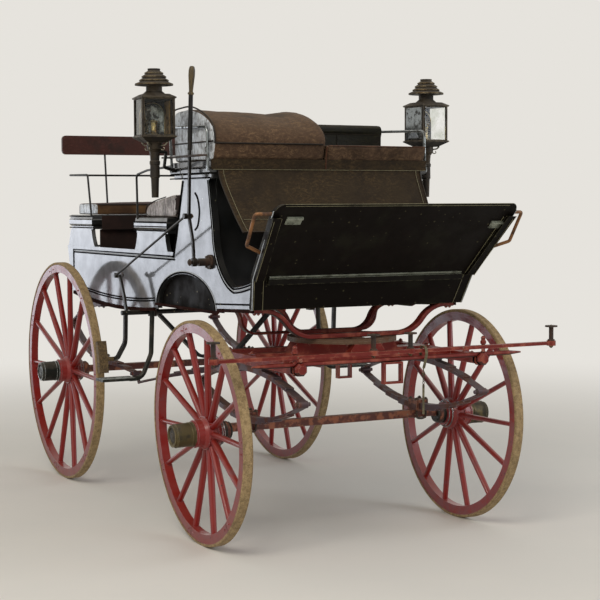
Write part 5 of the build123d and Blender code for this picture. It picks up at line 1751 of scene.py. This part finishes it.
@dataclass
class Lamps:
    """Reflector, candle, mirror plate, frame beads and scrolls of both lamps."""

    x: float = 587.0
    y: float = 774.0
    half: float = 81.0
    low: float = 1930.0
    high: float = 2122.0
    toe: float = 6.0
    candle: tuple = (
        (0, 0), (30, 0), (30, 5), (17, 9), (15, 12), (15, 62), (18, 64), (18, 70), (8, 76), (0, 76),
    )
    brims: tuple = ((92.5, 48), (71.5, 67), (59.5, 85), (45.5, 103))
    brim: tuple = ((-3, -3), (0.8, -1.5), (0.8, 1.5), (-3, 3))
    scroll: tuple = ((50, 1906), (40, 1893), (27, 1890), (23, 1878), (31, 1868), (38, 1874), (35, 1882))

    def at(self, side: Side, ahead: float, out: float, z: float) -> Vector:
        """A place in a lamp: ahead and out from its middle, at a height."""
        turn = math.radians(self.toe) * side.value
        x = self.x + ahead * math.cos(turn) - out * side.value * math.sin(turn)
        y = side.value * self.y + ahead * math.sin(turn) + out * side.value * math.cos(turn)
        return millimetres(x, y, z)

    def arch(self, side: Side, ahead: float, half: float, low: float, high: float) -> list[Vector]:
        """An arched line across a lamp, upright at its sides and round on top."""
        spring = high - half
        points = [self.at(side, ahead, half, low), self.at(side, ahead, half, (low + spring) / 2)]
        points += [
            self.at(side, ahead, half * math.cos(a), spring + half * math.sin(a))
            for a in (math.pi * k / 16 for k in range(17))
        ]
        return [*points, self.at(side, ahead, -half, (low + spring) / 2), self.at(side, ahead, -half, low)]

    def build(self) -> None:
        """Fit out both lamps."""
        for side in Side:
            self.inside(side)
            self.outside(side)

    def inside(self, side: Side) -> None:
        """A dished arched reflector behind a candle in its tube, and an amber side plate."""
        name = side.name.lower()
        form = Form()
        rows = []
        for depth, half, top in ((-40, 60, 2098), (-58, 46, 2086), (-66, 26, 2064)):
            rows.append(self.arch(side, depth, half, 1946, top))
        form.rings(rows, capped=False)
        back = [form.mesh.verts.new(point) for point in rows[-1]]
        form.mesh.faces.new(back)
        form.piece(f"{name}_lamp_reflector", SILVERED, "coach_body", "brass")
        lining = Form()
        reach = self.half - 6
        corners = [(-reach, 1938), (reach, 1938), (reach, 2114), (-reach, 2114)]
        lining.rings([[self.at(side, depth, out, z) for out, z in corners] for depth in (-72, -69)])
        lining.piece(f"{name}_lamp_lining", RECESS_BLACK, "coach_body", "brass")
        rim = [self.arch(side, -38, 61, 1946, 2099)]
        REPEATS.lines(f"{name}_reflector_rim", rim, 2.4, BRIGHT_BRASS, "coach_body", "brass")
        candle = Form()
        foot = self.at(side, -10, 0, 1940)
        candle.turned(foot, Vector((0, 0, 1)), self.candle)
        candle.piece(f"{name}_candle_tube", BRIGHT_BRASS, "coach_body", "brass")
        corners = ((-34, 1946), (58, 1946), (58, 2104), (-34, 2104))
        self.plate(side, "side_plate", AMBER_PLATE, corners, (-62.0, -60.0))

    def plate(self, side: Side, label: str, finish: Finish, corners: Sequence, outs: Row) -> None:
        """A thin upright plate along a lamp.

        Args:
            side: which lamp.
            label: the end of the piece's name.
            finish: what it is made of.
            corners: distances ahead and heights of its corners.
            outs: how far out its two faces lie.
        """
        form = Form()
        form.rings([[self.at(side, ahead, out, z) for ahead, z in corners] for out in outs])
        form.piece(f"{side.name.lower()}_lamp_{label}", finish, "coach_body", "brass")

    def outside(self, side: Side) -> None:
        """A mottled mirror plate inboard with a bright wedge on it that paints a glint, window beads,
        rivets, scroll feet and the chimney's brims.
        """
        name = side.name.lower()
        corners = ((-66, 1944), (66, 1944), (66, 2108), (-66, 2108))
        self.plate(side, "mirror_plate", SILVERED, corners, (-self.half - 1.6, -self.half + 0.4))
        # a bright wedge just outside the mirror plate paints its glint
        wedge = ((-44, 1950), (44, 1950), (8, 1990), (-8, 1990))
        self.plate(side, "painted_glint_plate", PAINTED_GLINT_STEEL, wedge, (-self.half - 5, -self.half - 1))
        low, high, reach = self.low + 9, self.high - 9, self.half - 9
        front = [(self.half + 0.5, -reach), (self.half + 0.5, reach)]
        outer = [(-reach, self.half + 0.5), (reach, self.half + 0.5)]
        loops = []
        for first, second in (front, outer):
            corners = ((*first, low), (*second, low), (*second, high), (*first, high), (*first, low))
            loops.append([self.at(side, *corner) for corner in corners])
        square = ((-1, -1), (1, -1), (1, 1), (-1, 1), (-1, -1))
        wide = self.half + 5.5
        for z in (self.low + 3, self.high - 3):
            loops.append([self.at(side, u * wide, v * wide, z) for u, v in square])
        REPEATS.lines(f"{name}_lamp_beads", loops, 2.0, BRASS_DARK, "coach_body", "brass")
        rivets = []
        way = self.at(side, 1, 0, 0) - self.at(side, 0, 0, 0)
        for u in (-1, 1):
            for z in (self.low + 5, self.high - 5):
                for out in (-reach, 0, reach):
                    rivets.append((self.at(side, self.half, out * u, z), way, 1.8))
        REPEATS.bolts(f"{name}_lamp_rivets", rivets, BRIGHT_BRASS, "coach_body", "brass")
        scrolls = Form()
        for u, v in ((-1, -1), (-1, 1), (1, -1), (1, 1)):
            points = smoothed([self.at(side, u * a, v * a, z) for a, z in self.scroll], 0.004)
            scrolls.tube(points, [0.0044 - 0.0024 * k / len(points) for k in range(len(points))], 8)
        scrolls.piece(f"{name}_lamp_scrolls", PALE_BRASS, "coach_body", "brass")
        chimney = Form()
        top = self.at(side, 0, 0, self.high + 15)
        up = Vector((0, 0, 1))
        for radius, height in self.brims:
            rows = [(radius + grow, height + rise) for grow, rise in self.brim]
            chimney.turned(top, up, rows, 48)
        chimney.piece(f"{name}_chimney_brims", BRASS, "coach_body", "brass")


# the springs' distance from the middle, in millimetres
SPRING_Y = 474.0
# radius and length along the pin through a spring's eye
EYE_PIN = ((0, 0), (10, 0), (11, 4), (8, 6), (8, 54), (11, 56), (10, 60), (0, 60))


def u_bolt(form: Form, x: float, y: float, half: float, levels: Row) -> None:
    """Hang a U bolt round an axle.

    Args:
        form: the mesh to add it to.
        x: its place along the coach, in millimetres.
        y: the middle between its arms.
        half: half the distance between its arms.
        levels: heights of its top, its bend and its lowest part.
    """
    top, bend, low = levels
    path = ((-half, top), (-half, bend), (-16, low), (16, low), (half, bend), (half, top))
    form.tube(smoothed([millimetres(x, y + across, z) for across, z in path], 0.008), 0.0058, 8)


@dataclass
class ForeCarriageIron:
    """Bolts, bands, U bolts, pins and the hanging strap of the fore-carriage."""

    bar_x: float = 1540.0
    ring_x: float = 1060.0
    ring_reach: float = 242.0
    strap_y: float = 167.0
    bed_y: float = 482.0

    def build(self) -> None:
        """Make the ironwork."""
        self.bolts()
        self.bands()
        self.spring_clips()
        self.hanging_strap()

    def bolts(self) -> None:
        """Nuts under the ring and the beds, on the clamps and on the splinter bar."""
        down, up = Vector((0, 0, -1)), Vector((0, 0, 1))
        spots = []
        for k in range(8):
            angle = math.pi * (k + 0.5) / 4
            x = self.ring_x + self.ring_reach * math.cos(angle)
            spots.append((millimetres(x, self.ring_reach * math.sin(angle), 946), down, 8.0))
        for x in (810, 1060, 1295):
            for y in (-self.bed_y, self.bed_y):
                spots.append((millimetres(x, y, 848), down, 9.0))
                spots.append((millimetres(x, y, 900), up, 9.0))
        for x in (1400, 1470):
            for y in (-self.bed_y, self.bed_y):
                spots.append((millimetres(x, y, 894), up, 7.0))
        ahead = Vector((1, 0, 0.3)).normalized()
        for side in (-1, 1):
            spots.append((millimetres(1562, side * self.bed_y, 912), ahead, 7.0))
        REPEATS.bolts("fore_carriage_bolts", spots, GEAR_RED, "fore_carriage", "red_gear_paint")
        caps = []
        for y in (-893, -98, 98, 893):
            caps.append((millimetres(self.bar_x, y, 1007.0), up, 6.5))
            caps.append((millimetres(self.bar_x, y, 914), down, 9.5))
        REPEATS.bolts("roller_bolt_nuts", caps, BRASS, "fore_carriage", "brass")
        irons = []
        for x, half, top, thick in ((1194, 500, 1111, 22), (930, 330, 1109, 22), (712, 460, 1103, 12)):
            for side in (-1, 1):
                for reach in (12, 32):
                    irons.append((millimetres(x, side * (half + reach), top - thick / 2), down, 8.0))
        REPEATS.bolts("body_iron_bolts", irons, GEAR_RED, "coach_body", "red_gear_paint")

    def bands(self) -> None:
        """Dark eight-sided bands on the futchell heads."""
        form = Form()
        ahead = Vector((1, 0, 0))
        turn = Matrix.Rotation(math.radians(22.5), 3, ahead)
        first, second = square_on(ahead)
        angles = [2 * math.pi * k / 8 for k in range(8)]
        spokes = [turn @ (first * math.cos(a) + second * math.sin(a)) for a in angles]
        for side in (-1, 1):
            centre = millimetres(0, side * self.bed_y, 871)
            for ends, reach in (((1521, 1533), 32.6), ((1549, 1556), 31.6)):
                form.rings([[centre + (ahead * x + way * reach) / 1000 for way in spokes] for x in ends])
        form.piece("futchell_bands", BEAD_BLACK, "fore_carriage", "red_gear_paint")

    def spring_clips(self) -> None:
        """U bolts round the axle with their nuts, and pins through the springs' eyes."""
        bolts, straps, pins = [], Form(), Form()
        for side in (-1, 1):
            for x in (965, 1025):
                for shift in (-26, 26):
                    nut = millimetres(x, side * SPRING_Y + shift, 619)
                    bolts.append((nut, Vector((0, 0, 1)), 9.0))
                u_bolt(straps, x, side * SPRING_Y, 26, (622, 540, 526))
            for toward in (-1, 1):
                eye = millimetres(1010 + toward * 550, side * SPRING_Y - 30, 716)
                pins.turned(eye, Vector((0, 1, 0)), EYE_PIN, 16)
        REPEATS.bolts("front_clamp_nuts", bolts, RUST_BROWN, "fore_carriage", "spring_steel")
        straps.piece("front_u_bolts", RUST_BROWN, "fore_carriage", "spring_steel")
        pins.piece("front_eye_pins", RUST_BROWN, "fore_carriage", "spring_steel")

    def hanging_strap(self) -> None:
        """A loop of old strap over both bars, with a hook and a few links below it."""
        x, y = self.bar_x, self.strap_y
        loop = Form()
        route = (
            (-17, 880), (-26, 915), (-16, 941), (0, 946), (20, 941), (27, 912), (16, 874), (2, 842),
        )
        # every second corner sways a millimetre aside
        corners = [millimetres(x + ahead, y + k % 2, z) for k, (ahead, z) in enumerate(route)]
        points = smoothed(corners, 0.006)
        loop.strap(points, Vector((0, 1, 0)), 0.013, 0.0035)
        loop.piece("hanging_strap_loop", STRAP_OLIVE, "fore_carriage", "seat_leather")
        hook = Form()
        curl = ((2, 845), (2, 830), (10, 824), (12, 814), (2, 808), (-8, 814), (-7, 822))
        hook.tube(smoothed([millimetres(x + ahead, y, z) for ahead, z in curl], 0.003), 0.0026, 8)
        hook.piece("hanging_strap_hook", BRASS, "fore_carriage", "brass")
        seed = bpy.data.meshes.new("hanging_chain_line")
        seed.from_pydata([millimetres(x + 2, y, 812), millimetres(x + 2, y, 762)], [(0, 1)], [])
        sizes = {"Pitch": 0.012, "Link": 0.0075, "Wire": 0.0016}
        home = ("fore_carriage", "step_iron")
        REPEATS.grow("hanging_chain", seed, REPEATS.links(), RUST_BROWN, *home, **sizes)
        tail = Form()
        run = [millimetres(x + ahead, y, z) for ahead, z in ((2, 766), (1, 700), (2, 628))]
        tail.strap(smoothed(run), Vector((0, 1, 0)), 0.010, 0.004)
        tail.piece("hanging_strap_tail", STRAP_OLIVE, "fore_carriage", "seat_leather")


class RearGear:
    """Nuts, U bolts and pins of the rear springs, and the bolts of the drop iron."""

    def build(self) -> None:
        """Make the rear ironwork."""
        nuts, straps, pins = [], Form(), Form()
        up, across = Vector((0, 0, 1)), Vector((0, 1, 0))
        for side in (-1, 1):
            y = side * SPRING_Y
            for x in (-1064, -1016):
                for shift in (-27, 27):
                    nuts.append((millimetres(x, y + shift, 708), up, 9.0))
                u_bolt(straps, x, y, 27, (712, 630, 614))
            for x, z in ((-475, 656), (-1540, 872)):
                pins.turned(millimetres(x, y - 30, z), across, EYE_PIN, 16)
            for x in (-1090, -1010):
                nuts.append((millimetres(x, y, 1003), -up, 7.0))
        REPEATS.bolts("rear_clamp_nuts", nuts, RUST_BROWN, "coach_body", "spring_steel")
        straps.piece("rear_u_bolts", RUST_BROWN, "coach_body", "spring_steel")
        pins.piece("rear_eye_pins", GEAR_RED, "coach_body", "spring_steel")
        drop = [
            (millimetres(-440, side * 372, 1036), Vector((0, side * -0.94, -0.34)), 8.0) for side in (-1, 1)
        ]
        REPEATS.bolts("drop_iron_bolts", drop, ENAMEL_BLACK, "coach_body", "black_enamel")


@dataclass
class Steps:
    """Wavy ribs on the step treads and the bolted feet of their tubes."""

    low: tuple = (-205.0, 622.0)
    high: tuple = (-95.0, 812.0)
    top: float = 676.0
    foot_y: float = 505.0
    ribs: int = 17

    def build(self) -> None:
        """Make the treads' ribs, rims and foot bolts."""
        runs, rims, bolts = [], [], []
        (rear, inner), (front, outer) = self.low, self.high
        for side in Side:
            for k in range(self.ribs):
                y = inner + 10 + (outer - inner - 20) * k / (self.ribs - 1)
                run = []
                for step in range(12):
                    x = rear + 8 + (front - rear - 16) * step / 11
                    wavy = y + 3.5 * math.sin(step * 1.15)
                    run.append(millimetres(x, side.value * wavy, self.top + 0.6))
                runs.append(run)
            corners = [(rear + 2, inner + 2), (front - 2, inner + 2), (front - 2, outer - 2)]
            corners += [(rear + 2, outer - 2), corners[0]]
            rims.append([millimetres(x, side.value * y, self.top) for x, y in corners])
            for x in (-176, -124):
                bolts.append((millimetres(x, side.value * self.foot_y, 1046), Vector((0, 0, -1)), 8.0))
        REPEATS.lines("step_ribs", runs, 2.2, TREAD_SILVER, "coach_body", "step_iron", 6)
        REPEATS.lines("step_rims", rims, 3.0, STEP_IRON, "coach_body", "step_iron")
        REPEATS.bolts("step_foot_bolts", bolts, STEP_IRON, "coach_body", "step_iron")
        plates = Form()
        for side in Side:
            y = side.value * self.foot_y
            plates.block(millimetres(-190, y - 20, 1044), millimetres(-110, y + 20, 1052), 0.002)
        plates.piece("step_foot_plates", STEP_IRON, "coach_body", "step_iron")


@dataclass
class BrakeDress:
    """The lever's grip and ferrule, the knobs at its pins and the hook under its guide."""

    y: float = -634.0
    pivot: tuple = (731.0, 1324.0)
    pin: tuple = (674.0, 1547.0)
    rocker: tuple = (-303.0, 1221.0)
    grip: tuple = (712.0, 2138.0)

    def knob(self, form: Form, x: float, z: float, low: float, high: float, radius: float) -> None:
        """A turned pin head on each side of a joint."""
        for start, way in ((low, -1), (high, 1)):
            profile = ((0, 0), (1, 0), (1, 3), (0.62, 5), (0.7, 8), (0.4, 11), (0, 12))
            rows = [(radius * part, out) for part, out in profile]
            form.turned(millimetres(x, start, z), Vector((0, way, 0)), rows, 20)

    def build(self) -> None:
        """Dress the lever, the rod and the brackets."""
        grip = Form()
        way = Vector((0.14, 0, 1)).normalized()
        rows = (
            (0, -5), (15, -5), (15, 2.6), (9.8, 8), (10.8, 24), (15.8, 84), (15.8, 110), (12, 127),
            (7, 131), (0, 131),
        )
        grip.turned(millimetres(self.grip[0], self.y, self.grip[1]), way, rows, 28)
        grip.piece("brake_lever_grip", GRIP_BROWN, "brake_lever", "step_iron")
        heads = Form()
        self.knob(heads, *self.pin, self.y - 11, self.y + 11, 13)
        heads.piece("brake_lever_knobs", RUST_BROWN, "brake_lever", "step_iron")
        rocker = Form()
        self.knob(rocker, *self.rocker, self.y - 12, self.y + 12, 15)
        rocker.piece("rocker_knobs", RUST_BROWN, "brake_shaft", "step_iron")
        hub = Form()
        self.knob(hub, *self.pivot, -655, -600, 17)
        hub.piece("brake_pivot_flange", RUST_BROWN, "coach_body", "step_iron")
        plates = [
            (millimetres(self.pivot[0] + x, -559, self.pivot[1] + z), Vector((0, -1, 0)), 5.0)
            for x, z in ((-24, -24), (24, -24), (-24, 24), (24, 24))
        ]
        REPEATS.bolts("brake_pivot_bolts", plates, RUST_BROWN, "coach_body", "step_iron")
        hook = ((600, 1834), (596, 1800), (604, 1760), (622, 1735), (634, 1742), (628, 1758))
        wire = smoothed([millimetres(x, -647, z) for x, z in hook], 0.006)
        REPEATS.lines("guide_hook", (wire,), 1.8, STEP_IRON, "coach_body", "step_iron")


def main() -> None:
    """Build every sub-assembly in order."""
    logging.basicConfig(level=logging.INFO, format="%(message)s")
    Studio().build()
    dress_nodes()
    BoxSeatLeather().build()
    PassengerSeats().build()
    BodyTrim().build()
    FootboardTrim().build()
    for side in Side:
        for end, sizes in AXLES.items():
            WheelDress(Wheel(f"{end}_{side.name.lower()}", side, *sizes)).build()
    Lamps().build()
    ForeCarriageIron().build()
    RearGear().build()
    Steps().build()
    BrakeDress().build()


if __name__ == "__main__":
    main()
